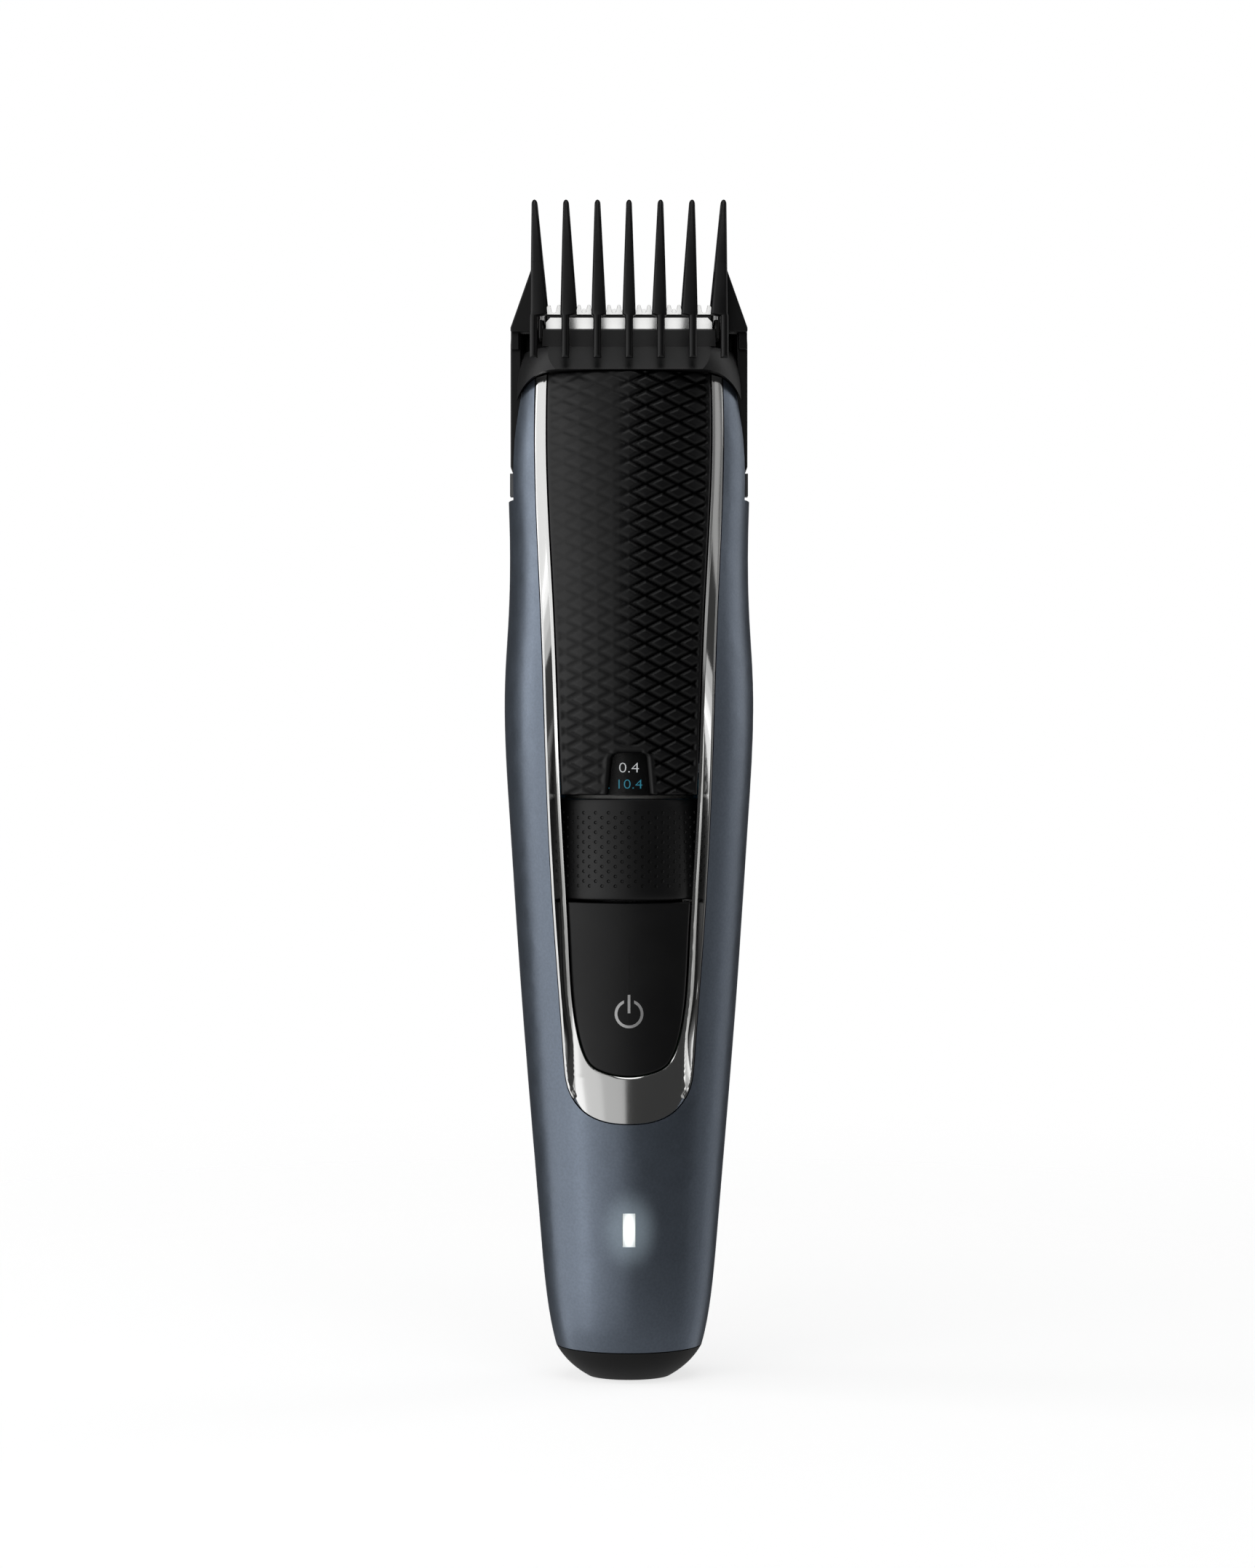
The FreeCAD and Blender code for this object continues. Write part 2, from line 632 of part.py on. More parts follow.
def sorted_pair(sign, inner, outer):
    """The low and high X of a piece between two distances from the middle, on either side."""
    return (inner, outer) if sign > 0 else (-outer, -inner)


def guide(side, sign):
    plate = block(f"guide_plate_{side}", sorted_pair(sign, guide_inner, guide_outer), (-5.2, 5.2),
                  (deck_high - 0.5, 156.0))
    slit = block(f"guide_slit_{side}", sorted_pair(sign, guide_inner - 1.0, guide_outer + 1.0),
                 (-1.7, 1.7), (lug_low - 1.0, 160.0))
    return common(f"guide_{side}_trimmed", frame_hull, cut(f"guide_{side}", plate, slit))


def rail_slot(side, sign):
    return block(f"rail_slot_{side}", sorted_pair(sign, rail_inner - 0.4, guide_inner),
                 (-rail_half - 0.4, rail_half + 0.4), (deck_low - 1.0, deck_high + 1.0))


# Zoom wheel, lead drum and number band: one turning body

def zoom_wheel():
    bore = journal_radius + running_gap
    body = turned("zoom_wheel", [
        (bore, wheel_low), (wheel_radius - 0.5, wheel_low), (wheel_radius, wheel_low + 0.5),
        (wheel_radius, wheel_high - 0.5), (wheel_radius - 0.5, wheel_high), (bore, wheel_high)],
        wheel_axis)
    sub_part("zoom_wheel", body)
    band = turned("number_band", [
        (drum_radius, wheel_high + 0.5), (band_radius, wheel_high + 0.5),
        (band_radius, band_high), (drum_radius, band_high)], wheel_axis)
    sub_part("number_band", band)


def lead_drum():
    """Drum with a left-handed groove that lifts the follower pin as the wheel turns."""
    bore = journal_radius + running_gap
    body = turned("lead_drum", [(bore, wheel_high), (drum_radius, wheel_high),
                                (drum_radius, drum_high), (bore, drum_high)], wheel_axis)
    start = pin_height - lead_rise * (float(lead_spare) / float(lead_angle))
    section = sketch_on(body, "groove_section", "XZ_Plane", [
        (groove_floor, start - groove_half), (drum_radius + 1.0, start - groove_half),
        (drum_radius + 1.0, start + groove_half), (groove_floor, start + groove_half)])
    doc.recompute()
    groove = body.newObject("PartDesign::SubtractiveHelix", "lead_groove")
    groove.Profile = section
    groove.ReferenceAxis = (section, ["V_Axis"])
    groove.Mode = "pitch-turns-angle"
    groove.setExpression("Pitch", f"{text(lead_rise)} * 360 / {text(lead_angle)}")
    groove.setExpression("Turns", f"({text(lead_angle)} + 2 * {text(lead_spare)}) / 360")
    groove.LeftHanded = True
    body.Placement = Placement(Vector(0, wheel_axis, 0),
                               Rotation(Vector(0, 0, 1), 90.0 + lead_spare))
    sub_part("lead_drum", body)


# Slider: two side rails joined behind the drum, with lugs that carry the comb's arms

def slider_yoke():
    ring = cut("yoke_ring", rod("yoke_ring_outer", yoke_radius, (0.0, wheel_axis), yoke_low, yoke_high),
               rod("yoke_ring_inner", yoke_bore, (0.0, wheel_axis), yoke_low - 1.0, yoke_high + 1.0),
               block("yoke_ring_mouth", (-FAR, FAR), (-FAR, -rail_half),
                     (yoke_low - 1.0, yoke_high + 1.0)))
    rails = both_sides(lambda side, sign: block(
        f"rail_{side}", sorted_pair(sign, rail_inner, rail_outer), (-rail_half, rail_half),
        (yoke_low, rail_high)))
    lugs = both_sides(lambda side, sign: block(
        f"lug_{side}", sorted_pair(sign, rail_inner, arm_outer + 0.2), (-1.4, 1.4),
        (lug_low, lug_high)))
    pin_hole = rod("follower_hole", pin_radius, (0.0, pin_height), 9.0, 16.0, "y")
    body = fuse("yoke_body", ring, *rails, *lugs)
    sub_part("slider_yoke", cut("slider_yoke", body, pin_hole))
    pin = rod("follower_pin", pin_radius, (0.0, pin_height), 8.1, 13.3, "y")
    sub_part("follower_pin", pin)


def detent_spring():
    foot = block("detent_foot", (8.6, 12.4), (2.0, 6.0), (76.2, 76.5))
    blade = block("detent_blade", (8.6, 12.4), (-3.0, 2.4), (76.75, 77.05))
    riser = block("detent_riser", (8.6, 12.4), (2.0, 2.4), (76.4, 77.05))
    sub_part("detent_spring", fuse("detent_spring", foot, blade, riser))


# Motor: hollow can with magnets, a wound rotor on its shaft, and the cam

def motor_screw_rods(name, radius, low, high):
    return both_sides(
        lambda side, sign: rod(f"{name}_{side}", radius, (6.7 * sign, motor_axis), low, high))


def motor():
    inner, top_skin = motor_radius - 0.8, 1.2
    bore = shaft_radius + running_gap
    can = turned("motor_can", [
        (inner, motor_low + 2.6), (motor_radius, motor_low + 2.6), (motor_radius, motor_high),
        (2.8, motor_high), (2.8, motor_high + 1.0), (bore, motor_high + 1.0),
        (bore, motor_high - top_skin), (inner, motor_high - top_skin)], motor_axis)
    sub_part("motor_can", can)
    bell = turned("end_bell_blank", [
        (bore, motor_low), (motor_radius, motor_low), (motor_radius, motor_low + 2.6),
        (bore, motor_low + 2.6)], motor_axis)
    holes = motor_screw_rods("bell_hole", 0.8, motor_low - 1.0, motor_low + 1.9)
    tabs = both_sides(lambda side, sign: block(f"terminal_{side}", sorted_pair(sign, 2.0, 3.4),
                                               (-3.3, -2.9), (motor_low - 3.0, motor_low)))
    sub_part("motor_end_bell", cut("motor_end_bell", bell, *holes))
    sub_part("motor_terminals", group("motor_terminals", *tabs))
    ring = turned("magnet_ring", [(6.0, motor_low + 4.0), (inner, motor_low + 4.0),
                                  (inner, motor_high - 3.0), (6.0, motor_high - 3.0)], motor_axis)
    gaps = block("magnet_gap", (-1.5, 1.5), (-FAR, FAR), (motor_low, motor_high))
    sub_part("motor_magnets", cut("motor_magnets", ring, gaps))
    screws = []
    for side, shank, head in zip(("right", "left"),
                                 motor_screw_rods("motor_screw_shank", 0.8, 120.8, motor_low + 1.8),
                                 motor_screw_rods("motor_screw_head", 1.4, 119.9, 120.8)):
        screws.append(fuse("motor_screw_" + side, shank, head))
    sub_part("motor_screws", group("motor_screws", *screws))


def lead(name, start, corner, end, radius, bend):
    """One insulated wire: two straight runs joined by a round bend at the corner."""
    start, corner, end = Vector(*start), Vector(*corner), Vector(*end)
    back, ahead = (start - corner).normalize(), (end - corner).normalize()
    middle = corner + (back + ahead) * (bend * (1.0 - 0.5 ** 0.5))
    arc = Part.Arc(corner + back * bend, middle, corner + ahead * bend)
    path = Part.Wire([Part.makeLine(start, corner + back * bend), arc.toShape(),
                      Part.makeLine(corner + ahead * bend, end)])
    ring = Part.Wire(Part.makeCircle(radius, start, corner - start))
    thing = doc.addObject("Part::Feature", name)
    thing.Shape = path.makePipeShell([ring], True, False)
    return thing


def leads():
    """Wires from the board to the motor, and from the charging pins to the board."""
    upper = both_sides(lambda side, sign: lead(
        f"motor_lead_{side}", (lead_side * sign, board_back, lead_height),
        (lead_side * sign, -3.1, lead_height), (lead_side * sign, -3.1, motor_low - 3.0),
        float(lead_radius), float(lead_bend)))
    sub_part("motor_leads", group("motor_leads", *upper))
    lower = both_sides(lambda side, sign: lead(
        f"charging_lead_{side}", (2.2 * sign, 0.0, 15.5), (2.2 * sign, 0.0, 22.0),
        (2.2 * sign, board_back, 22.0), float(lead_radius), float(lead_bend)))
    sub_part("charging_leads", group("charging_leads", *lower))


def rotor():
    core_low, core_high = motor_low + 5.0, motor_high - 4.0
    core = turned("rotor_blank", [(shaft_radius, core_low), (5.6, core_low), (5.6, core_high),
                                  (shaft_radius, core_high)], motor_axis)
    slots = []
    for count in range(3):
        angle = radians(90.0 + 120.0 * count)
        slots.append(rod(f"winding_slot_{count}", 1.3,
                         (5.2 * cos(angle), motor_axis + 5.2 * sin(angle)), core_low, core_high))
    sub_part("motor_rotor", cut("motor_rotor", core, *slots))
    sub_part("motor_shaft", rod("motor_shaft", shaft_radius, (0.0, motor_axis),
                                motor_low + 0.4, 156.0))
    disc = turned("cam_disc", [(shaft_radius, 152.6), (2.6, 152.6), (2.6, 156.0),
                               (shaft_radius, 156.0)], motor_axis)
    cap = rod("cam_cap", 2.6, (0.0, motor_axis), 156.0, 156.8)
    pin = rod("cam_pin", cam_pin_radius, (0.0, motor_axis - eccentric), 156.8, 160.4)
    sub_part("eccentric_cam", fuse("eccentric_cam", disc, cap, pin))


# Collar and cutting unit

collar_levels = cell_rows("collar", ("height", "width", "depth"), [
    (154.9, 19.12, 14.8), (158.0, 18.85, 15.8), (161.6, 18.25, 17.6), (164.6, 17.2, 17.1),
])


def head_collar():
    """Shoulder between the round handle and the straight-sided cutting unit."""
    side = [(-15.0, 153.0), (-13.5, 160.75), (-11.6, collar_top), (7.6, collar_top),
            (13.5, 160.75), (15.0, 153.0)]
    body = common("collar_body", hull("collar_hull", collar_levels),
                  prism("collar_side", "YZ_Plane", side, -FAR, FAR))
    void = common("collar_void", inner_hull,
                  block("collar_void_block", (-FAR, FAR), (-FAR, FAR), (150.0, 161.9)))
    neck = block("neck_hole", (-neck_half - 0.15, neck_half + 0.15), (-9.5, 5.0), (150.0, 170.0))
    channels = both_sides(lambda side, sign: block(
        f"collar_channel_{side}", sorted_pair(sign, arm_inner - 0.3, FAR),
        (-channel_half, channel_half), (150.0, 170.0)))
    sub_part("head_collar", cut("head_collar", body, collar_limit, void, neck, *channels))


def cutting_unit_frame():
    side = [(-11.1, collar_top + 0.1), (5.1, collar_top + 0.1), (4.3, 167.0), (1.6, 168.6),
            (-3.4, 168.6), (-6.9, 167.4), (-8.2, 167.9), (-9.0, 167.55)]
    neck = block("unit_neck", (-neck_half, neck_half), (-9.35, 4.85), (160.6, 165.4))
    body = fuse("unit_body", prism("unit_blank", "YZ_Plane", side, -head_half, head_half), neck)
    hollow = block("unit_hollow", (-12.2, 12.2), (-6.6, 3.2), (150.0, 167.2))
    mouth = prism("unit_mouth", "YZ_Plane", [(-7.4, 166.6), (-1.0, 166.6), (-1.0, 170.0),
                                              (-5.6, 170.0)], -12.2, 12.2)
    seat = leaning_block("blade_seat", blade_half + 0.1, (-0.1, 1.4), (-0.1, 8.0))
    sub_part("cutting_unit_frame", cut("cutting_unit_frame", body, hollow, mouth, seat))


def lean_back(thing, x, y, z):
    """Stand a piece on the leaning blades: x across, y behind and z up along the guard's face."""
    thing.Placement = Placement(Vector(), Rotation(Vector(1, 0, 0), -float(blade_lean)))
    angle = text(blade_lean)
    place(thing, x,
          blade_foot_y + Size(0.0, f"({text(y)} * cos({angle}) + {text(z)} * sin({angle}))"),
          blade_foot_z + Size(0.0, f"({text(z)} * cos({angle}) - {text(y)} * sin({angle}))"))


def leaning_block(name, half, y, z):
    box = block(name, (-half, half), y, z)
    lean_back(box, -half, y[0], z[0])
    return box


def toothed_blade(name, half, low, high, root, front, back, slots):
    """Thin plate with a row of slots cut down from its upper edge."""
    body = doc.addObject("PartDesign::Body", name)
    plate = sketch_on(body, name + "_outline", "XZ_Plane",
                      [(-half, low), (half, low), (half, high - 0.6), (half - 0.6, high),
                       (0.6 - half, high), (-half, high - 0.6)])
    pad = body.newObject("PartDesign::Pad", name + "_plate")
    pad.Profile = plate
    bind(pad, Length=back - front)
    doc.recompute()
    first = tooth_pitch * (-(slots - 1) / 2.0)
    gap = sketch_on(body, name + "_slot_outline", "XZ_Plane",
                    [(first - tooth_slot * 0.5, root), (first + tooth_slot * 0.5, root),
                     (first + tooth_slot * 0.5, high + 1.0), (first - tooth_slot * 0.5, high + 1.0)])
    slot = body.newObject("PartDesign::Pocket", name + "_slot")
    slot.Profile = gap
    slot.Type = "ThroughAll"
    slot.Midplane = True
    doc.recompute()
    row = body.newObject("PartDesign::LinearPattern", name + "_slots")
    row.Originals = [slot]
    row.Direction = (gap, ["H_Axis"])
    row.setExpression("Length", f"{text(tooth_pitch)} * {slots - 1}")
    row.Occurrences = slots
    body.Tip = row
    lean_back(body, 0.0, back, 0.0)
    return body


def blades():
    sub_part("guard_blade", toothed_blade("guard_blade", blade_half, 0.0, blade_length, tooth_root,
                                          0.0, guard_back, 16))
    sub_part("cutter_blade", toothed_blade(
        "cutter_blade", blade_half - 2.0, cutter_low, blade_length - 0.4, tooth_root + 0.2,
        guard_back + running_gap, cutter_back, 13))


def cutter_carrier():
    """Carrier on the back of the cutter, with a fork below for the cam pin."""
    back = leaning_block("carrier_back", 6.0, (cutter_back, 2.6), (cutter_low, 3.2))
    leg = block("carrier_leg", (-3.9, 3.9), (-6.3, -0.8), (161.4, 167.0))
    prongs = both_sides(lambda side, sign: block(
        f"carrier_prong_{side}", sorted_pair(sign, 2.4, 3.9), (-5.2, -0.8), (157.4, 161.4)))
    sub_part("cutter_carrier", fuse("cutter_carrier", back, leg, *prongs))


def blade_spring():
    """Flat spring that presses the cutter against the guard."""
    foot = block("spring_foot", (-5.0, 5.0), (2.9, 3.2), (161.5, 166.0))
    blade = prism("spring_blade", "YZ_Plane", [(2.9, 161.5), (3.2, 161.5), (-0.4, 166.6),
                                                (-0.7, 166.4)], -5.0, 5.0)
    sub_part("blade_spring", fuse("blade_spring", foot, blade))


# Comb

def comb():
    """Seven fins that arch over the blades, two wings, a rear bar and two sliding arms."""
    profile = [(-14.7, 162.4), (-13.6, 162.4), (-13.2, 165.4), (-11.6, 170.0), (-9.6, 176.4),
               (-6.0, 178.4), (-1.5, 176.4), (5.5, 168.0), (5.8, 165.0), (8.3, 165.0), (8.2, 168.5),
               (5.4, 173.0), (-2.0, 181.4), (-8.3, overall_height - 1.6), (-9.0, overall_height),
               (-9.8, overall_height), (-10.5, overall_height - 1.6), (-12.9, 177.0), (-14.4, 169.5)]
    sheet_body = prism("fin_profile", "YZ_Plane", profile, -FAR, FAR)
    fingers = []
    for number in range(1 - len(fin_roots), len(fin_roots)):
        centre = fin_pitch * number
        outside, inside = fin_roots[abs(number)]
        right, left = (outside, inside) if number > 0 else (inside, outside)
        name = f"fin_{number + len(fin_roots)}"
        blade = prism(name, "XZ_Plane", [
            (centre - left, fin_low), (centre + right, fin_low), (centre + fin_tip, overall_height),
            (centre - fin_tip, overall_height)], -FAR, FAR)
        leg = block(name + "_leg", (centre - leg_half, centre + leg_half), (-FAR, -8.0),
                    (160.0, fin_low))
        heel = block(name + "_heel", (centre - left, centre + right), (-8.0, FAR), (160.0, fin_low))
        fingers += [blade, leg, heel]
    fins = common("comb_fins", sheet_body, fuse("comb_fingers", *fingers))
    rear_bar = block("comb_rear_bar", (-17.0, 17.0), (5.8, 8.2), (165.0, 168.2))
    wings = both_sides(comb_wing)
    arms = both_sides(lambda side, sign: block(
        f"comb_arm_{side}", sorted_pair(sign, arm_inner, arm_outer), (-arm_half, arm_half),
        (arm_low, 168.0)))
    sub_part("comb", fuse("comb", fins, rear_bar, *wings, *arms))


def comb_wing(side, sign):
    """Hollow cheek from the outer fin to the arm, open below and in front, sloping down behind."""
    outline = [(14.1, 178.4), (15.7, 178.4), (18.9, 168.2), (18.8, 165.0), (14.1, 165.0)]
    hollow = [(13.0, 176.0), (14.3, 176.0), (17.2, 167.0), (17.2, 164.0), (13.0, 164.0)]
    flank = [(-6.0, 165.0), (8.2, 165.0), (8.2, 168.6), (5.4, 173.2), (1.4, 178.4), (-6.0, 178.4)]
    inner_flank = [(-4.6, 164.0), (5.8, 164.0), (5.8, 170.2), (4.4, 172.5), (0.45, 177.7),
                   (-4.6, 177.7)]
    cheek = [(sign * x, z) for x, z in outline]
    room = [(sign * x, z) for x, z in hollow]
    plate = common(f"wing_plate_{side}",
                   prism(f"wing_cheek_{side}", "XZ_Plane", cheek, -FAR, FAR),
                   prism(f"wing_flank_{side}", "YZ_Plane", flank, -FAR, FAR))
    hole = common(f"wing_hole_{side}",
                  prism(f"wing_room_{side}", "XZ_Plane", room, -FAR, FAR),
                  prism(f"wing_inner_flank_{side}", "YZ_Plane", inner_flank, -FAR, FAR))
    mouth = block(f"wing_mouth_{side}", sorted_pair(sign, 13.0, 17.2), (-9.0, 0.0), (164.0, 167.6))
    return cut(f"wing_{side}", plate, hole, mouth)


front_housing()
rear_housing()
rear_grip()
end_cap()
charging_socket()
trim_frame()
front_panel()
window_lens()
power_button()
power_symbol()
charge_light()
circuit_board()
board_screws()
switch()
battery()
inner_frame()
zoom_wheel()
lead_drum()
slider_yoke()
detent_spring()
motor()
leads()
rotor()
head_collar()
cutting_unit_frame()
blades()
cutter_carrier()
blade_spring()
comb()

doc.recompute()
faults = [f"{thing.Name}: {thing.State}" for thing in doc.Objects
          if "Invalid" in thing.State or "Error" in thing.State]
faults += [f"{part.Label}: no valid shape" for part in parts
           if part.Shape.isNull() or not part.Shape.isValid()]
if faults:
    raise RuntimeError("; ".join(faults))

os.makedirs("parts", exist_ok=True)
for part in parts:
    part.Shape.exportStep(f"parts/{part.Label}.step")
    box = part.Shape.BoundBox
    print(f"{part.Label:20s} {len(part.Shape.Solids)} {part.Shape.Volume:10.2f} "
          f"x {box.XMin:7.2f} {box.XMax:7.2f} y {box.YMin:7.2f} {box.YMax:7.2f} "
          f"z {box.ZMin:7.2f} {box.ZMax:7.2f}")
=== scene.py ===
import json
import math

import bmesh
import bpy
import numpy as np
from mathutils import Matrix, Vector


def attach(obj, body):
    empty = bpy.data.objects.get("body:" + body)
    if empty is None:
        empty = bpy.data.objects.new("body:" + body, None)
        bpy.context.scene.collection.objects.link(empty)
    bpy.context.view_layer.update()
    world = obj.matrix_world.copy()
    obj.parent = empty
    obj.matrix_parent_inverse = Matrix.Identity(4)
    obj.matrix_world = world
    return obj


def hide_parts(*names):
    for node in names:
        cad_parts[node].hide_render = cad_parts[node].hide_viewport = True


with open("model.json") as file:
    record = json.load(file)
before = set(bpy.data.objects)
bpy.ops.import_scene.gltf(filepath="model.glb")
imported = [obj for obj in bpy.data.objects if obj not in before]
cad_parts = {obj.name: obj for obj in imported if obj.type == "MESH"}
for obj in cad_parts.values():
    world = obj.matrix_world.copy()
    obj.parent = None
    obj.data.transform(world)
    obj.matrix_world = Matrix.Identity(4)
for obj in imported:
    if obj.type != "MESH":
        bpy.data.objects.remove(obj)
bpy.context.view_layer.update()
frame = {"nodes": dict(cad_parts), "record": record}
MM = 0.001

# The handle's sections, as the frame has them: height, half width, half depth and how far the
# panel, wheel and button lie below the housing, in millimetres
LEVELS = np.array([
    (5.0, 11.75, 9.2, 0.0), (12.0, 13.15, 10.6, 0.0), (24.0, 14.35, 11.9, 0.8),
    (42.0, 15.85, 13.3, 1.6), (65.0, 17.65, 14.7, 3.0), (90.0, 19.3, 16.1, 2.8),
    (112.0, 20.05, 16.9, 1.3), (122.0, 19.5, 16.7, 0.7), (136.0, 19.3, 16.1, 0.3),
    (152.0, 19.2, 14.9, 0.3), (166.0, 17.6, 12.6, 0.3)])
# Right-hand halves of the trim's outer and inner outlines, from the top down to the middle
TRIM_OUTER = np.array([
    (14.7, 166.0), (15.1, 150.0), (14.0, 121.0), (13.05, 93.6), (11.75, 70.0),
    (10.4, 51.7), (9.65, 47.1), (6.95, 43.5), (4.0, 42.2), (0.0, 41.8)])
TRIM_INNER = np.array([
    (12.9, 166.0), (13.15, 150.0), (11.85, 121.0), (10.85, 93.6), (9.6, 70.0),
    (8.1, 55.4), (7.2, 52.6), (6.0, 50.8), (4.4, 49.9), (0.0, 49.1)])
WHEEL_AXIS_Y = -1.2


# Curves and surfaces of the handle

def cubic(knots, values, at):
    """Smooth curve through the values at the knots (natural cubic spline)."""
    knots, values, at = (np.asarray(v, float) for v in (knots, values, at))
    gaps = np.diff(knots)
    slopes = np.diff(values) / gaps
    count = len(knots)
    system = np.eye(count)
    right = np.zeros(count)
    for i in range(1, count - 1):
        system[i, i - 1:i + 2] = gaps[i - 1], 2 * (gaps[i - 1] + gaps[i]), gaps[i]
        right[i] = 6 * (slopes[i] - slopes[i - 1])
    bend = np.linalg.solve(system, right)
    i = np.clip(np.searchsorted(knots, at) - 1, 0, count - 2)
    span, s = gaps[i], at - knots[i]
    return (values[i] + s * (slopes[i] - span * (2 * bend[i] + bend[i + 1]) / 6)
            + s * s * bend[i] / 2 + s ** 3 * (bend[i + 1] - bend[i]) / (6 * span))


def level(column, z):
    """Value of a column of the handle's sections at height z."""
    return cubic(LEVELS[:, 0], LEVELS[:, column], z)


def front_y(x, z, sink=0.0, inset=0.0):
    """Front surface of the handle at (x, z), sunk by a share of the panel's depth below it."""
    width = level(1, z) - inset
    depth = level(2, z) - inset - sink * level(3, z)
    return -depth * np.sqrt(np.clip(1 - (x / width) ** 2, 0.02, 1))


def even_points(curve, count):
    """Evenly spaced points along a curve."""
    length = np.r_[0, np.cumsum(np.hypot(*np.diff(curve, axis=0).T))]
    even = np.linspace(0, length[-1], count)
    return np.stack([np.interp(even, length, curve[:, 0]), np.interp(even, length, curve[:, 1])], 1)


def drawn_in(curve, gap):
    """A trim outline moved by gap towards the inside of its U."""
    turn = np.gradient(curve, axis=0)
    turn /= np.hypot(*turn.T)[:, None]
    return curve + np.stack([turn[:, 1], -turn[:, 0]], 1) * gap


def u_curve(side, count):
    """Evenly spaced points (x, z) along a trim outline, from its right-hand top to its left-hand top."""
    left = side[:-1][::-1] * (-1, 1)
    points = np.vstack([side, left])
    steps = np.r_[0, np.cumsum(np.hypot(*np.diff(points, axis=0).T))]
    fine = np.linspace(0, steps[-1], 4000)
    curve = np.stack([cubic(steps, points[:, 0], fine), cubic(steps, points[:, 1], fine)], 1)
    return even_points(curve, count)


def outline_x(side, z):
    """Half width of a trim outline at height z."""
    curve = u_curve(side, 1601)[:801]
    return np.interp(z, curve[::-1, 1], curve[::-1, 0])


# Mesh helpers

def mesh_object(name, points, faces):
    """Mesh from points in millimetres."""
    mesh = bpy.data.meshes.new(name)
    mesh.from_pydata((np.asarray(points, float) * MM).tolist(), [], faces)
    thing = bpy.data.objects.new(name, mesh)
    bpy.context.scene.collection.objects.link(thing)
    return thing


def finish_edges(thing, degrees=32):
    """Faces outwards, smooth, with sharp edges kept where the surface turns by more than degrees."""
    work = bmesh.new()
    work.from_mesh(thing.data)
    bmesh.ops.remove_doubles(work, verts=work.verts, dist=1e-7)
    bmesh.ops.recalc_face_normals(work, faces=work.faces)
    for face in work.faces:
        face.smooth = True
    for edge in work.edges:
        edge.smooth = len(edge.link_faces) != 2 or edge.calc_face_angle() < math.radians(degrees)
    work.to_mesh(thing.data)
    work.free()
    return thing


def round_edges(thing, width, segments=3):
    """Bevel the sharp edges by a width in millimetres."""
    edge = thing.modifiers.new("round_edges", "BEVEL")
    edge.width = width * MM
    edge.segments = segments
    edge.limit_method = "ANGLE"
    edge.angle_limit = math.radians(35)
    edge.harden_normals = True
    return thing


def grid_faces(rows, columns, skip=None, wrap=False):
    """Quads of a grid of points; skip(row, column) leaves one out, wrap closes the rows into rings."""
    faces = []
    for i in range(rows - 1):
        for j in range(columns if wrap else columns - 1):
            if skip and skip(i, j):
                continue
            after = (j + 1) % columns
            faces.append((i * columns + j, i * columns + after,
                          (i + 1) * columns + after, (i + 1) * columns + j))
    return faces


def shell_solid(name, front, back, faces):
    """Closed solid between a front surface and a matching back surface, with walls round its rims."""
    count = len(front)
    rim = set()
    for face in faces:
        for a, b in zip(face, face[1:] + face[:1]):
            if (b, a) in rim:
                rim.remove((b, a))
            else:
                rim.add((a, b))
    walls = [(b, a, a + count, b + count) for a, b in sorted(rim)]
    backs = [tuple(i + count for i in reversed(face)) for face in faces]
    used = sorted({i for face in faces + backs + walls for i in face})
    new_index = {old: new for new, old in enumerate(used)}
    points = np.vstack([front, back])[used]
    faces = [tuple(new_index[i] for i in face) for face in faces + backs + walls]
    return finish_edges(mesh_object(name, points, faces))


def prism_faces(count):
    """Faces of a prism: its first count points are one end, and the next count the other."""
    faces = [tuple(range(count)), tuple(range(2 * count - 1, count - 1, -1))]
    return faces + [(i, (i + 1) % count, count + (i + 1) % count, count + i) for i in range(count)]


def prism_mesh(name, outline, low, high, axis):
    """Solid with the outline's points (the other axis, then z) between low and high along x or y."""
    points = [(end, u, v) if axis == "x" else (u, end, v) for end in (low, high) for u, v in outline]
    return finish_edges(mesh_object(name, points, prism_faces(len(outline))))


def join(name, things):
    """Join pieces into one object, with their modifiers applied."""
    graph = bpy.context.evaluated_depsgraph_get()
    work = bmesh.new()
    for thing in things:
        flat = bpy.data.meshes.new_from_object(thing.evaluated_get(graph))
        flat.transform(thing.matrix_world)
        work.from_mesh(flat)
        bpy.data.meshes.remove(flat)
    mesh = bpy.data.meshes.new(name)
    work.to_mesh(mesh)
    work.free()
    for thing in things:
        bpy.data.objects.remove(thing)
    whole = bpy.data.objects.new(name, mesh)
    bpy.context.scene.collection.objects.link(whole)
    return whole


def dress(thing, body, slot, material, *replaced):
    """Finish a new piece: its material, the body it rides on and the CAD nodes it stands for."""
    thing.data.materials.clear()
    thing.data.materials.append(material)
    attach(thing, body)
    if replaced:
        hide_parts(*replaced)


# Front panel: satin black, with grooves that cut it into diamonds

PANEL_LOW, PANEL_HIGH, PANEL_STEP = 93.8, 160.6, 0.2
WINDOW_TOP, WINDOW_FOOT, WINDOW_HEAD, WINDOW_CORNER = 100.4, 3.3, 2.7, 0.9
PANEL_GAP, PANEL_RIM, PANEL_THICKNESS = 0.15, 0.25, 1.4
WINDOW_RIM_WIDTH, WINDOW_RIM_DEPTH = 0.55, 0.4
GROOVE_WIDTH, GROOVE_DEPTH = 1.05, 0.38
DIAMOND_WIDTH, DIAMOND_WIDENING, DIAMOND_HEIGHT = 4.9, 0.4, 2.5


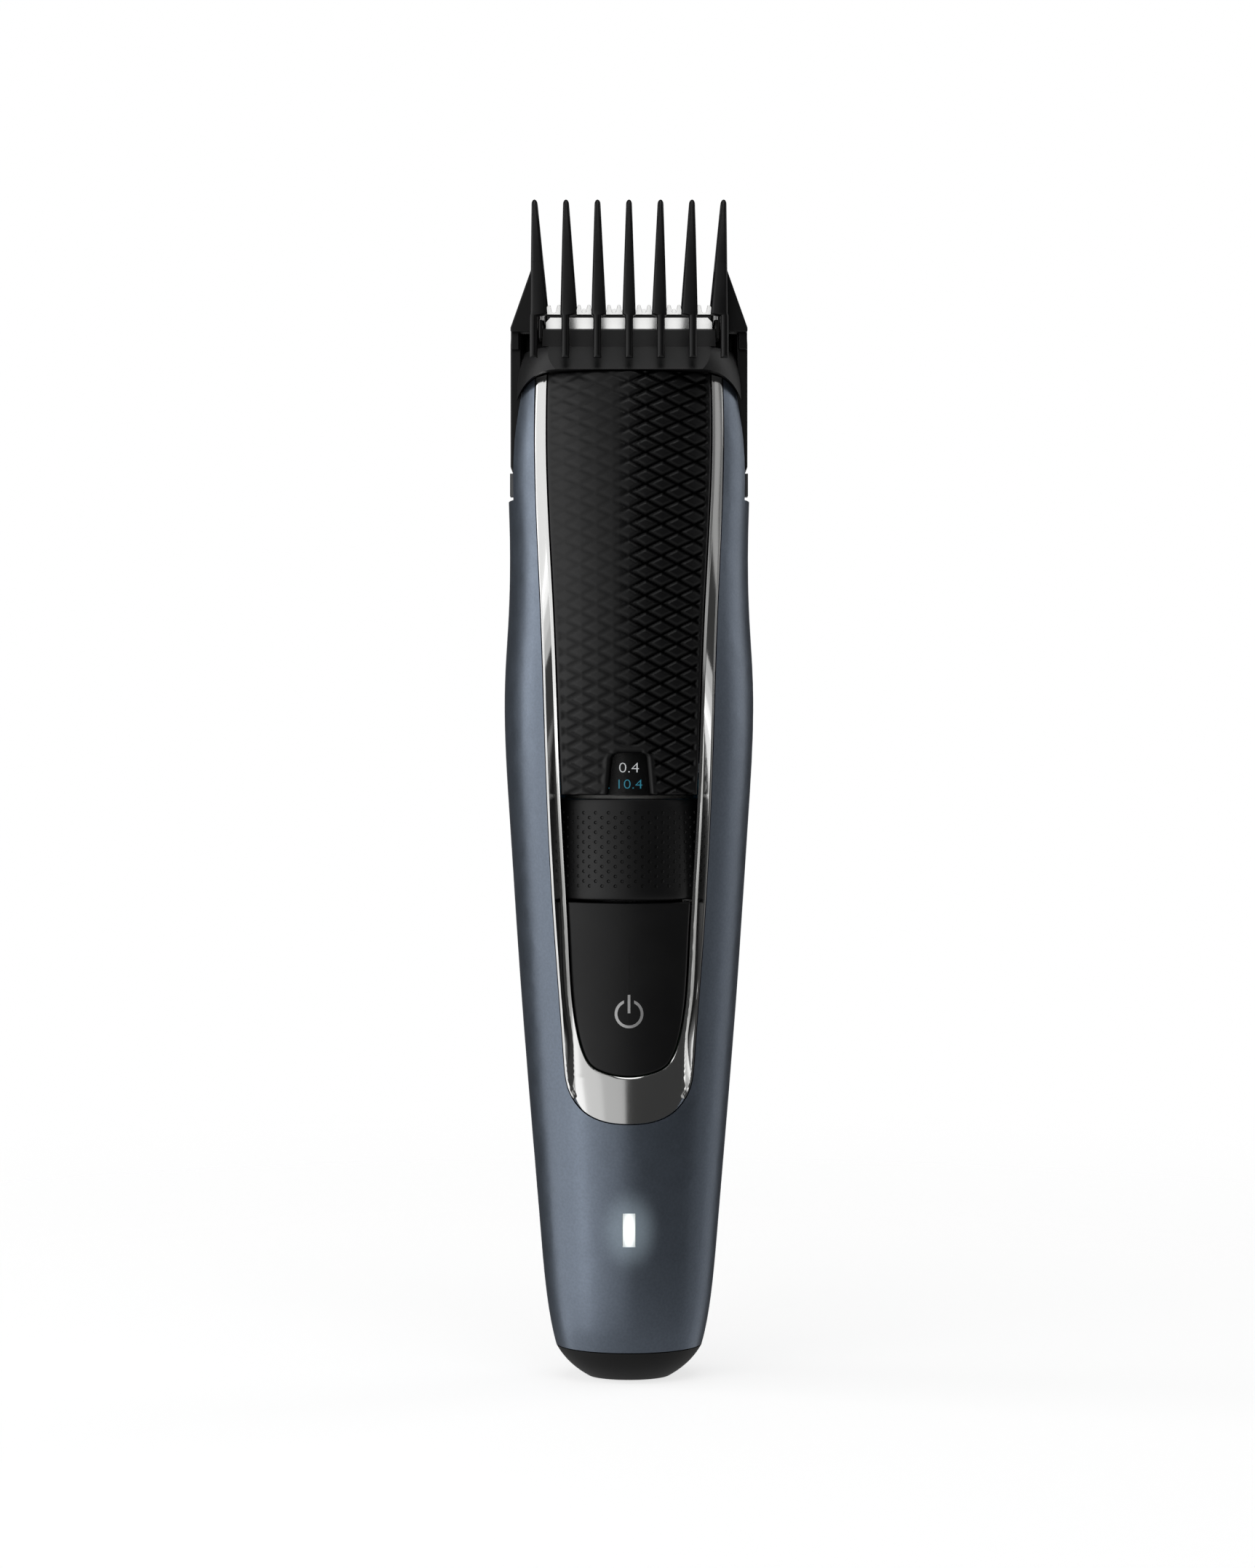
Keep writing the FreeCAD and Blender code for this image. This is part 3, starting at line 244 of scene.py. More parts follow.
def window_half(z):
    """Half width of the window notch at height z, with round upper corners."""
    z = np.asarray(z, float)
    straight = WINDOW_FOOT + (WINDOW_HEAD - WINDOW_FOOT) * (z - PANEL_LOW) / (WINDOW_TOP - PANEL_LOW)
    into = np.clip((z - WINDOW_TOP + WINDOW_CORNER) / WINDOW_CORNER, 0, 1)
    return np.maximum(straight - WINDOW_CORNER * (1 - np.sqrt(1 - into ** 2)), WINDOW_HEAD - WINDOW_CORNER)


def diamond_grooves(x, z, width, height, half_groove):
    """1 in the middle of a groove, falling to 0 at its edges and on the diamonds."""
    spacing = 1 / np.hypot(1 / width, 1 / height)
    a, b = x / width + z / height, x / width - z / height
    off = np.minimum(np.abs(a - np.round(a)), np.abs(b - np.round(b))) * spacing
    return np.clip(1.3 - off / half_groove * 1.3, 0, 1)


def groove_strength(x, z):
    """The grooves are full on the right, about half as deep on the left, and shallow in its upper part."""
    left = np.clip(0.5 - x / 3, 0, 1)
    high = np.clip((z - 106) / 22, 0, 1)
    return 1 - 0.45 * left - 0.33 * left * high


def rounded_rim(distance, radius):
    """Depth of a quarter round along an edge, at a distance from the edge."""
    inside = np.clip(1 - distance / radius, 0, 1)
    return radius * (1 - np.sqrt(1 - inside ** 2))


def mark_grooves(panel):
    """Note on each point of the panel how far it lies inside a groove; the material reads this for the
    grooves' matt finish and painted shade.
    """
    spots = np.array([vertex.co for vertex in panel.data.vertices]) / MM
    x, z = spots[:, 0], spots[:, 2]
    depth = (spots[:, 1] - front_y(x, z, 1.0)) / GROOVE_DEPTH
    inside = np.where(depth < 1.2, np.clip(depth, 0, 1) ** 1.4, 0)
    panel.data.attributes.new("groove", "FLOAT", "POINT").data.foreach_set("value", inside)


def front_panel(materials):
    rim = np.array([0.0, 0.06, 0.14, PANEL_RIM])
    heights = np.r_[PANEL_LOW + rim, np.arange(PANEL_LOW + 0.4, PANEL_HIGH - 0.3, PANEL_STEP),
                    PANEL_HIGH - rim[::-1]]
    top_row = int(np.argmin(abs(heights - WINDOW_TOP)))
    heights[top_row] = WINDOW_TOP
    side = outline_x(TRIM_INNER, heights) - PANEL_GAP
    notch = window_half(heights)
    outer = np.r_[rim / 9.5, np.linspace(0.04, 1.0, 52)]
    middle = np.linspace(-1, 1, 29)[1:-1]
    count_side = len(outer)
    columns = 2 * count_side + len(middle)
    front = []
    for z, w, h in zip(heights, side, notch):
        left = -w + (w - h) * outer
        front.append(np.r_[left, h * middle, -left[::-1]])
    x = np.array(front)
    z = np.repeat(heights[:, None], columns, 1)
    from_side = side[:, None] - np.abs(x)
    from_end = np.minimum(z - PANEL_LOW, PANEL_HIGH - z)
    past_window = np.hypot(np.clip(np.abs(x) - notch[:, None], 0, None),
                           np.clip(z - WINDOW_TOP, 0, None))
    margin = np.clip((np.minimum(from_side, past_window - 0.5) - 0.35) / 0.5, 0, 1)
    width = DIAMOND_WIDTH + DIAMOND_WIDENING * np.clip((z - 110) / 50, 0, 1)
    grooves = diamond_grooves(x, z - PANEL_LOW, width, DIAMOND_HEIGHT, GROOVE_WIDTH / 2)
    depth = GROOVE_DEPTH * grooves * groove_strength(x, z) * margin
    depth += rounded_rim(np.minimum(from_side, from_end), PANEL_RIM)
    depth += WINDOW_RIM_DEPTH * np.clip(1 - past_window / WINDOW_RIM_WIDTH, 0, 1)
    y = front_y(x, z, 1.0) + depth
    faces = grid_faces(len(heights), columns,
                       lambda i, j: i < top_row and count_side - 1 <= j < columns - count_side)
    front = np.stack([x, y, z], 2).reshape(-1, 3)
    back = np.stack([x, front_y(x, z, 1.0) + PANEL_THICKNESS, z], 2).reshape(-1, 3)
    panel = shell_solid("front_panel_diamonds", front, back, faces)
    mark_grooves(panel)
    dress(panel, "handle", "panel_black", materials["panel_black"], "front_panel")


# Power button: one smooth plate with a round lower end

BUTTON_TOP, BUTTON_GAP, BUTTON_RIM, BUTTON_THICKNESS = 76.8, 0.25, 0.3, 1.4
BUTTON_SPINE = (56.5, 70.0)


def button_outline():
    """Closed outline (x, z): the trim's inner edge, drawn in and cut straight at the button's top."""
    curve = u_curve(TRIM_INNER, 2001)
    curve = drawn_in(curve[curve[:, 1] < BUTTON_TOP + 1e-6], BUTTON_GAP)
    curve = curve[curve[:, 1] <= BUTTON_TOP]
    curve = curve[np.linspace(0, len(curve) - 1, 220).round().astype(int)]
    curve[0, 1] = curve[-1, 1] = BUTTON_TOP
    across = np.linspace(curve[-1, 0], curve[0, 0], 40)[1:-1]
    return np.vstack([curve, np.stack([across, np.full(len(across), BUTTON_TOP)], 1)])


def power_button(materials):
    """Curved plate with a rounded front rim, in rings that close on its middle line, the spine."""
    outline = button_outline()
    middle = np.stack([np.zeros(len(outline)), np.clip(outline[:, 1], *BUTTON_SPINE)], 1)
    reach = np.hypot(*(outline - middle).T)
    front = []
    for distance in [0.0, 0.05, 0.12, 0.22, 0.35]:
        ring = outline + (middle - outline) * (distance / reach)[:, None]
        y = front_y(ring[:, 0], ring[:, 1], 1.0) + rounded_rim(distance, BUTTON_RIM)
        front.append(np.stack([ring[:, 0], y, ring[:, 1]], 1))
    start = ring
    for share in np.linspace(0, 1, 14)[1:]:
        ring = start + (middle - start) * share * 0.999
        front.append(np.stack([ring[:, 0], front_y(ring[:, 0], ring[:, 1], 1.0), ring[:, 1]], 1))
    faces = grid_faces(len(front), len(outline), wrap=True)
    front = np.vstack(front)
    back = front.copy()
    back[:, 1] = front_y(front[:, 0], front[:, 2], 1.0) + BUTTON_THICKNESS
    plate = shell_solid("power_button_cap", front, back, faces)
    dress(plate, "power_button", "panel_black", materials["panel_black"], "power_button")


# Steel trim: a U of satin chrome whose side walls slope in to the sunk panel and button

# Where the outer and inner edges stop, and how far each is drawn in
TRIM_TOP = ((160.15, 0.1), (160.5, 0.0))
TRIM_ROWS, TRIM_THICKNESS, TRIM_SUNK = 640, 1.3, 0.06
# The side walls stand on WALL_FOOT, from WALL_LOW up; the closed end of the U slopes in over END_HIGH
WALL_FOOT, WALL_LOW, END_LOW, END_HIGH = 8.75, 43.5, 41.9, 7.2


def trim_edge(side, top, gap):
    """One edge of the trim: an outline that stops at top, drawn in by gap."""
    curve = u_curve(side, 6001)
    return even_points(drawn_in(curve[curve[:, 1] <= top], gap), TRIM_ROWS)


def trim_frame(materials):
    outer = trim_edge(TRIM_OUTER, *TRIM_TOP[0])
    inner = trim_edge(TRIM_INNER, *TRIM_TOP[1])
    share = np.r_[0, 0.015, 0.05, np.linspace(0.09, 0.93, 46), 0.95, 0.97, 1.0]
    spots = outer[:, None, :] * (1 - share)[None, :, None] + inner[:, None, :] * share[None, :, None]
    x, z = spots[..., 0], spots[..., 1]
    width = np.hypot(*(outer - inner).T)[:, None]
    from_outer, from_inner = width * share, width * (1 - share)
    beside = outline_x(TRIM_INNER, z) + 0.5
    foot = (WALL_FOOT + beside + np.hypot(WALL_FOOT - beside, 0.5)) / 2
    edge = outline_x(TRIM_OUTER, z) - 0.45
    wall = np.clip((np.abs(x) - foot) / np.maximum(edge - foot, 0.05), 0, 1)
    wall = np.where(z > WALL_LOW, wall, 0)
    end = np.clip((z - END_LOW) / END_HIGH, 0, 1)
    sink = np.minimum(end, 1 - wall)
    y = front_y(x, z, sink, TRIM_SUNK) + rounded_rim(from_outer, 0.14) + rounded_rim(from_inner, 0.12)
    front = np.stack([x, y, z], 2).reshape(-1, 3)
    back = front + (0, TRIM_THICKNESS, 0)
    trim = shell_solid("trim_band", front, back, grid_faces(TRIM_ROWS, len(share)))
    dress(trim, "handle", "trim_steel", materials["trim_steel"], "trim_frame")


# Zoom wheel: a rim of small round dimples in offset columns

WHEEL_LOW, WHEEL_HIGH, WHEEL_RADIUS, WHEEL_BORE = 77.2, 93.2, 12.8, 5.35
WHEEL_COLUMNS, DIMPLE_PITCH, DIMPLE_ROWS = 74, 1.54, 8
DIMPLE_RADIUS, DIMPLE_DEPTH = 0.3, 0.16


def zoom_wheel(materials):
    points, faces, index = [], [], {}

    def spot(across, height, sunk=0.0):
        """Point at a height on the rim, by half columns across and how far it is sunk below the rim."""
        key = (round(across % (2 * WHEEL_COLUMNS), 4), round(height, 4), sunk)
        if key not in index:
            turn = math.pi * across / WHEEL_COLUMNS
            radius = WHEEL_RADIUS - sunk
            index[key] = len(points)
            points.append((radius * math.sin(turn), WHEEL_AXIS_Y - radius * math.cos(turn), height))
        return index[key]

    half = DIMPLE_PITCH / 2
    middle = (WHEEL_LOW + WHEEL_HIGH) / 2
    base = middle - half * (DIMPLE_ROWS + 0.5)
    half_column = math.pi * WHEEL_RADIUS / WHEEL_COLUMNS
    for column in range(WHEEL_COLUMNS):
        x = 2 * column
        offset = half if column % 2 else 0.0
        spare = base if column % 2 else base + DIMPLE_ROWS * DIMPLE_PITCH
        faces.append([spot(x - 1, spare), spot(x, spare), spot(x + 1, spare), spot(x + 1, spare + half),
                      spot(x, spare + half), spot(x - 1, spare + half)])
        for row in range(DIMPLE_ROWS):
            low = base + offset + row * DIMPLE_PITCH
            centre = low + half
            rings = [[spot(x + 1, centre), spot(x + 1, low + 2 * half), spot(x, low + 2 * half),
                      spot(x - 1, low + 2 * half), spot(x - 1, centre), spot(x - 1, low), spot(x, low),
                      spot(x + 1, low)]]
            for radius, sunk in ((DIMPLE_RADIUS, 0.0), (DIMPLE_RADIUS * 0.6, DIMPLE_DEPTH)):
                ring = []
                for step in range(8):
                    turn = math.pi * step / 4
                    ring.append(spot(x + radius * math.cos(turn) / half_column,
                                     centre + radius * math.sin(turn), sunk))
                rings.append(ring)
            for outer, inner in zip(rings, rings[1:]):
                faces += [[outer[k], outer[(k + 1) % 8], inner[(k + 1) % 8], inner[k]] for k in range(8)]
            faces.append(rings[-1])
    top = base + (2 * DIMPLE_ROWS + 1) * half
    depth = WHEEL_RADIUS - WHEEL_BORE
    for edge, sign in ((base, -1), (top, 1)):
        end = WHEEL_LOW if sign < 0 else WHEEL_HIGH
        profile = [(edge, 0.0), (end - sign * 0.55, 0.0), (end - sign * 0.2, 0.12), (end, 0.45),
                   (end, depth)]
        for (z0, s0), (z1, s1) in zip(profile, profile[1:]):
            for k in range(2 * WHEEL_COLUMNS):
                faces.append([spot(k, z0, s0), spot(k + 1, z0, s0), spot(k + 1, z1, s1), spot(k, z1, s1)])
    for k in range(2 * WHEEL_COLUMNS):
        faces.append([spot(k, WHEEL_LOW, depth), spot(k + 1, WHEEL_LOW, depth),
                      spot(k + 1, WHEEL_HIGH, depth), spot(k, WHEEL_HIGH, depth)])
    wheel = finish_edges(mesh_object("zoom_wheel_dimpled", points, faces), 24)
    dress(wheel, "zoom_wheel", "wheel_black", materials["wheel_black"], "zoom_wheel")


# Numbers on the band behind the window: the length in white, and again with ten added in blue

BAND_RADIUS = 10.9
SETTINGS, WHEEL_TURN = 13, math.radians(330)
FIRST_LENGTH, LENGTH_STEP, SECOND_SCALE = 0.4, 0.8, 10
# Each row of numbers: its letters' size, and its height on the trimmer
SHORT_ROW, LONG_ROW = (2.3, 98.0), (2.15, 95.4)
DIGIT_THICKNESS, DIGIT_THINNING, DIGIT_STRETCH = 0.03, -0.035, 1.2


def band_number(name, words, size, height, turn, material):
    """Thin lettering wrapped on the number band, centred at an angle round it."""
    curve = bpy.data.curves.new(name, "FONT")
    curve.body = words
    curve.size = size * MM
    curve.align_x = "CENTER"
    curve.align_y = "CENTER"
    curve.extrude = DIGIT_THICKNESS * MM
    curve.offset = DIGIT_THINNING * MM
    curve.resolution_u = 4
    holder = bpy.data.objects.new(name + "_text", curve)
    bpy.context.scene.collection.objects.link(holder)
    graph = bpy.context.evaluated_depsgraph_get()
    mesh = bpy.data.meshes.new_from_object(holder.evaluated_get(graph))
    bpy.data.objects.remove(holder)
    for vertex in mesh.vertices:
        across, up, out = vertex.co / MM
        angle = across * DIGIT_STRETCH / BAND_RADIUS + turn
        radius = BAND_RADIUS + DIGIT_THICKNESS + out
        vertex.co = Vector((radius * math.sin(angle), WHEEL_AXIS_Y - radius * math.cos(angle),
                            height + up)) * MM
    number = bpy.data.objects.new(name, mesh)
    bpy.context.scene.collection.objects.link(number)
    dress(number, "zoom_wheel", "symbol_grey", material)


def band_numbers(materials):
    step = WHEEL_TURN / (SETTINGS - 1)
    for count in range(SETTINGS):
        length = FIRST_LENGTH + LENGTH_STEP * count
        turn = -count * step
        band_number(f"length_{count}", f"{length:.1f}", *SHORT_ROW, turn, materials["digit_white"])
        band_number(f"length_long_{count}", f"{length + SECOND_SCALE:.1f}", *LONG_ROW, turn,
                    materials["digit_blue"])


# Comb

FIN_LOW, FIN_TOP, ARCH_TOP = 169.4, 188.2, 178.1
FIN_TIP, LEG_HALF, LEG_LOW, HEEL_LOW = 0.45, 0.62, 162.45, 165.0
FIN_PITCH, FIN_END, FIN_CORNER = 5.0, 0.7, 0.5
# Half thickness of each fin at its root, on the side away from the middle and on the side towards it
FIN_ROOTS = ((1.05, 1.05), (0.93, 1.42), (0.8, 1.8), (0.5, 2.15))
# Side view of a fin (y, z): its front edge, its rear edge, and the two sides of the arch inside it
FIN_FRONT = ((-14.65, 162.4), (-14.55, 166.0), (-14.2, 170.0), (-13.0, 176.5), (-11.7, 182.0),
             (-10.3, 186.9), (-9.9, 188.2))
FIN_REAR = ((8.3, 165.0), (7.9, 169.0), (5.6, 172.8), (2.2, 177.0), (-2.0, 181.3), (-5.4, 184.6),
            (-8.2, 187.4), (-9.0, 188.2))
ARCH_FRONT = ((-13.7, 162.4), (-13.2, 165.4), (-11.8, 170.0), (-10.6, 174.0), (-8.9, 176.8),
              (-5.6, 178.1))
ARCH_REAR = ((5.8, 165.0), (5.3, 168.2), (1.9, 172.7), (-1.6, 176.3), (-5.6, 178.1))


def edge_y(edge, z):
    """Depth of one of a fin's edges at height z."""
    edge = np.array(edge)
    return cubic(edge[:, 1], edge[:, 0], z)


def rounded_section(x_low, x_high, y_low, y_high, radius, z):
    """Level ring of points round a rectangle with round corners."""
    radius = min(radius, (x_high - x_low) / 2.01, (y_high - y_low) / 2.01)
    ring = []
    for corner, (x, y) in enumerate(((x_high, y_high), (x_low, y_high), (x_low, y_low), (x_high, y_low))):
        middle = (x - math.copysign(radius, x - (x_low + x_high) / 2),
                  y - math.copysign(radius, y - (y_low + y_high) / 2))
        for step in range(4):
            turn = math.pi / 2 * (corner + step / 3)
            ring.append((middle[0] + radius * math.cos(turn), middle[1] + radius * math.sin(turn), z))
    return ring


def loft(name, rings):
    """Solid through level rings of the same number of points, from the bottom up."""
    count = len(rings[0])
    faces = grid_faces(len(rings), count, wrap=True)
    faces += [tuple(range(count))[::-1], tuple(range(count * (len(rings) - 1), count * len(rings)))]
    return finish_edges(mesh_object(name, np.vstack(rings), faces), 40)


def rounded_end(distance, radius):
    """1 away from a round end, falling to 0 at it."""
    return math.sqrt(max(0.0, 1 - max(0.0, 1 - distance / radius) ** 2))


def fin(number):
    """One fin, numbered from the middle out: its tip, and its front leg and rear heel round the arch."""
    centre = FIN_PITCH * number
    outside, inside = FIN_ROOTS[abs(number)]
    right, left = (outside, inside) if number > 0 else (inside, outside)

    def sides(z, half_leg=None):
        share = max(0.0, (z - FIN_LOW) / (FIN_TOP - FIN_LOW))
        low, high = left + (FIN_TIP - left) * share, right + (FIN_TIP - right) * share
        if half_leg and z < FIN_LOW:
            low = high = half_leg
        end = max(0.12, rounded_end(FIN_TOP - z, FIN_END))
        return centre - low * end, centre + high * end

    def section(z, front, rear, half_leg=None):
        x_low, x_high = sides(z, half_leg)
        y_low, y_high = float(front), float(rear)
        squeeze = (y_high - y_low) * (1 - rounded_end(FIN_TOP - z, FIN_END)) * 0.35
        return rounded_section(x_low, x_high, y_low + squeeze, y_high - squeeze, FIN_CORNER, z)

    top = np.r_[np.linspace(ARCH_TOP - 0.5, FIN_TOP - 0.8, 16),
                FIN_TOP - np.array([0.5, 0.3, 0.15, 0.05, 0.0])]
    tip = loft("fin_tip", [section(z, edge_y(FIN_FRONT, z), edge_y(FIN_REAR, z)) for z in top])
    low = np.r_[LEG_LOW + np.array([0.0, 0.06, 0.2, 0.45]), np.linspace(LEG_LOW + 0.9, FIN_LOW - 0.25, 8),
                FIN_LOW, np.linspace(FIN_LOW + 0.5, ARCH_TOP, 14)]
    front_leg = []
    for z in low:
        front, rear = float(edge_y(FIN_FRONT, z)), float(edge_y(ARCH_FRONT, z))
        pull = (rear - front) * 0.5 * (1 - rounded_end(z - LEG_LOW + 0.05, 0.5))
        front_leg.append(section(z, front + pull, rear, LEG_HALF))
    heel = [section(z, edge_y(ARCH_REAR, z), edge_y(FIN_REAR, z))
            for z in np.linspace(HEEL_LOW, ARCH_TOP, 18)]
    return [tip, loft("fin_leg", front_leg), loft("fin_heel", heel)]


# Rear outline (y, z) of the wings, from the bottom up
WING_REAR = ((8.2, 165.0), (8.2, 168.6), (5.4, 173.2), (1.4, 178.4))


def mirrored(outline, sign):
    """An outline (x, z) on the right for sign 1, or on the left for -1."""
    return [(sign * x, z) for x, z in outline]


def slice_off(thing, point, outward):
    """Cut away what lies beyond the plane through point, and close the cut."""
    work = bmesh.new()
    work.from_mesh(thing.data)
    cut = bmesh.ops.bisect_plane(work, geom=work.verts[:] + work.edges[:] + work.faces[:],
                                 plane_co=Vector(point) * MM, plane_no=Vector(outward), clear_outer=True)
    rim = [piece for piece in cut["geom_cut"] if isinstance(piece, bmesh.types.BMEdge)]
    bmesh.ops.holes_fill(work, edges=rim)
    work.to_mesh(thing.data)
    work.free()
    finish_edges(thing)


def comb_wing(sign):
    """Cheek from the outer fin down to the arm: a skin, a sloping front, the arm and a rear plate."""
    skin = [(14.3, 178.3), (15.5, 178.3), (18.9, 168.3), (18.9, 165.0), (17.5, 165.0), (17.5, 167.8),
            (15.1, 174.9), (14.3, 176.3)]
    cheek = prism_mesh("wing_skin", mirrored(skin, sign), -5.6, 8.1, "y")
    for (y, z), (y_next, z_next) in zip(WING_REAR[1:], WING_REAR[2:]):
        slice_off(cheek, (0, y - 0.3, z - 0.2), (0, z_next - z, y - y_next))
    pieces = [cheek]
    face = mirrored([(14.4, 178.1), (15.5, 178.3), (18.9, 168.3), (18.9, 167.6), (14.4, 167.6)], sign)
    front = [(x, -7.2 + 0.14 * (z - 168), z) for x, z in face]
    back = [(x, -4.6, z) for x, z in face]
    faces = [(4, 3, 2, 1, 0), (5, 6, 7, 8, 9)]
    faces += [(i, (i + 1) % 5, 5 + (i + 1) % 5, 5 + i) for i in range(5)]
    pieces.append(finish_edges(mesh_object("wing_front", front + back, faces)))
    arm = [(17.25, 146.2), (17.5, 145.8), (18.7, 145.8), (19.0, 146.2), (19.0, 166.0), (18.9, 168.0),
           (17.25, 168.0)]
    pieces.append(prism_mesh("comb_arm", mirrored(arm, sign), -4.3, 4.3, "y"))
    rear = WING_REAR + ((0.45, 177.7), (4.4, 172.6), (7.1, 168.1), (7.1, 165.0))
    rear = prism_mesh("wing_rear", rear, *sorted((sign * 13.9, sign * 18.85)), "x")
    slice_off(rear, (sign * 18.85, 0, 168.3), (sign * 10.0, 0, 3.4))
    pieces.append(rear)
    return [round_edges(piece, 0.25) for piece in pieces]


def comb(materials):
    pieces = []
    for number in range(-3, 4):
        pieces += fin(number)
    for sign in (1, -1):
        pieces += comb_wing(sign)
    bar = [(5.7, 165.0), (8.3, 165.0), (8.2, 168.4), (7.6, 169.2), (6.2, 169.2), (5.5, 168.4)]
    pieces.append(round_edges(prism_mesh("comb_bar", bar, -17.2, 17.2, "x"), 0.4))
    dress(join("comb_finned", pieces), "comb", "comb_black", materials["comb_black"], "comb")


# Cutting unit: ground steel guard and cutter with fine teeth

LEAN = math.radians(25)
BLADE_FOOT = np.array((-8.4, 166.5))
TOOTH_PITCH = 1.6


def on_blade(x, out, up):
    """Point on the leaning blades: out behind the guard's face, up along it from its foot."""
    y = BLADE_FOOT[0] + out * math.cos(LEAN) + up * math.sin(LEAN)
    z = BLADE_FOOT[1] - out * math.sin(LEAN) + up * math.cos(LEAN)
    return x, y, z


def blade_prism(name, outline, front, back):
    """Solid with an outline (x, up) drawn on the leaning blades, between two depths behind their face."""
    points = [on_blade(x, out, up) for out in (front, back) for x, up in outline]
    return finish_edges(mesh_object(name, points, prism_faces(len(outline))))


def tooth_row(half, root, tip, count, base):
    """Outline of a toothed strip: pointed teeth between count round gaps, above a straight base."""
    outline = [(-half, base), (half, base)]
    first = TOOTH_PITCH * (count - 1) / 2
    outline += [(half, tip - 0.7), (half - 0.35, tip - 0.1)]
    for index in range(count):
        gap = first - index * TOOTH_PITCH
        outline += [(gap + 0.56, tip - 0.1), (gap + 0.44, tip - 0.75)]
        for turn in range(5):
            angle = math.pi * turn / 4
            outline.append((gap + 0.36 * math.cos(angle), root + 0.3 - 0.3 * math.sin(angle)))
        outline += [(gap - 0.44, tip - 0.75), (gap - 0.56, tip - 0.1)]
        if index < count - 1:
            outline += [(gap - TOOTH_PITCH / 2 + 0.12, tip), (gap - TOOTH_PITCH / 2 - 0.12, tip)]
    outline += [(-half + 0.35, tip - 0.1), (-half, tip - 0.7)]
    return outline


def blades(materials):
    steel = materials["blade_steel"]
    plate = [(-13.1, 0.2), (13.1, 0.2), (13.3, 0.6), (13.3, 2.9), (12.6, 3.8), (-12.6, 3.8), (-13.3, 2.9),
             (-13.3, 0.6)]
    teeth = blade_prism("guard_teeth", tooth_row(13.3, 4.75, 6.3, 16, 4.4), 0.1, 0.6)
    guard = [round_edges(blade_prism("guard_plate", plate, 0.0, 0.6), 0.08, 2),
             round_edges(teeth, 0.05, 1)]
    dress(join("guard_toothed", guard), "handle", "blade_steel", steel, "guard_blade")
    # Painted shade: a black strip sunk in the slot between the guard plate and its teeth stands in for the
    # shade there
    slot = blade_prism("guard_slot", [(-13.1, 3.6), (13.1, 3.6), (13.1, 4.6), (-13.1, 4.6)], 0.3, 0.6)
    dress(join("guard_slot_painted_shade", [slot]), "handle", "black_plastic", materials["black_plastic"])
    teeth = blade_prism("cutter_teeth", tooth_row(11.3, 4.9, 5.9, 13, 0.9), 0.65, 1.15)
    cutter = join("cutter_toothed", [round_edges(teeth, 0.05, 1)])
    dress(cutter, "cutter", "blade_steel", steel, "cutter_blade")
    for sign, side in ((1, "right"), (-1, "left")):
        clip = mirrored([(13.45, 3.2), (14.25, 3.4), (14.35, 5.6), (13.95, 6.1), (13.45, 5.9)], sign)
        clip = round_edges(blade_prism("clip_" + side, clip, 0.1, 1.5), 0.12)
        dress(join("blade_clip_" + side, [clip]), "handle", "blade_steel", steel)
        block = mirrored([(13.75, 166.3), (14.3, 166.3), (14.3, 169.3), (13.75, 169.3)], sign)
        block = round_edges(prism_mesh("mount_" + side, block, -8.6, -5.0, "y"), 0.15)
        dress(join("blade_mount_" + side, [block]), "handle", "black_plastic", materials["black_plastic"])


# Tongue inside the joint between the two housings, which keeps light from passing through

def seam_tongue(materials):
    rings = {1: [], -1: []}
    for z in np.linspace(7.0, 140.0, 60):
        inner, outer = float(level(1, z)) - 1.3, float(level(1, z)) - 0.6
        for sign, sections in rings.items():
            corners = [(inner, 0.4), (outer, 0.4), (outer, 1.6), (inner, 1.6)][::sign]
            sections.append([(sign * x, y, z) for x, y in corners])
    tongue = join("housing_tongue", [loft("tongue_side", sections) for sections in rings.values()])
    dress(tongue, "handle", "black_plastic", materials["black_plastic"])


# Rear grip pad: soft rubber, cut into large diamonds by shallow grooves

GRIP_LOW, GRIP_HIGH, GRIP_HALF, GRIP_PROUD, GRIP_BURIED = 34.0, 138.0, 11.0, 0.4, 0.9
GRIP_DIAMOND, GRIP_GROOVE, GRIP_GROOVE_DEPTH, GRIP_RIM = (5.0, 4.2), 0.45, 0.3, 0.35


def rear_grip(materials):
    near = np.r_[0, 0.05, 0.2, 0.45, 0.8, 1.2, 1.7, 2.3]
    heights = np.r_[GRIP_LOW + near, np.linspace(GRIP_LOW + 3, GRIP_HIGH - 3, 330), GRIP_HIGH - near[::-1]]
    end = np.minimum(heights - GRIP_LOW, GRIP_HIGH - heights)
    reach = np.clip(GRIP_HALF - end, 0, GRIP_HALF)
    half = np.sqrt(np.maximum(GRIP_HALF ** 2 - reach ** 2, 0.02))
    share = np.r_[-1, -0.994, -0.985, -0.97, np.linspace(-0.95, 0.95, 80), 0.97, 0.985, 0.994, 1]
    x = half[:, None] * share
    z = np.repeat(heights[:, None], len(share), 1)
    from_rim = np.minimum(half[:, None] - np.abs(x), end[:, None])
    groove = diamond_grooves(x, z, *GRIP_DIAMOND, GRIP_GROOVE)
    margin = np.clip((from_rim - 1.0) / 0.5, 0, 1)
    proud = GRIP_PROUD - GRIP_GROOVE_DEPTH * groove * margin - rounded_rim(from_rim, GRIP_RIM)
    wide, deep = level(1, z), level(2, z)
    lift = np.sqrt(np.clip(1 - (x / wide) ** 2, 0.02, 1))
    y = deep * lift + proud
    front = np.stack([x, y, z], 2).reshape(-1, 3)
    back = np.stack([x, deep * lift - GRIP_BURIED, z], 2).reshape(-1, 3)
    pad = shell_solid("rear_grip_pad", front, back, grid_faces(len(heights), len(share)))
    dress(pad, "handle", "soft_grip", materials["soft_grip"], "rear_grip")


# Materials

LIGHT_CENTRE = (0, 0, 0.02505)


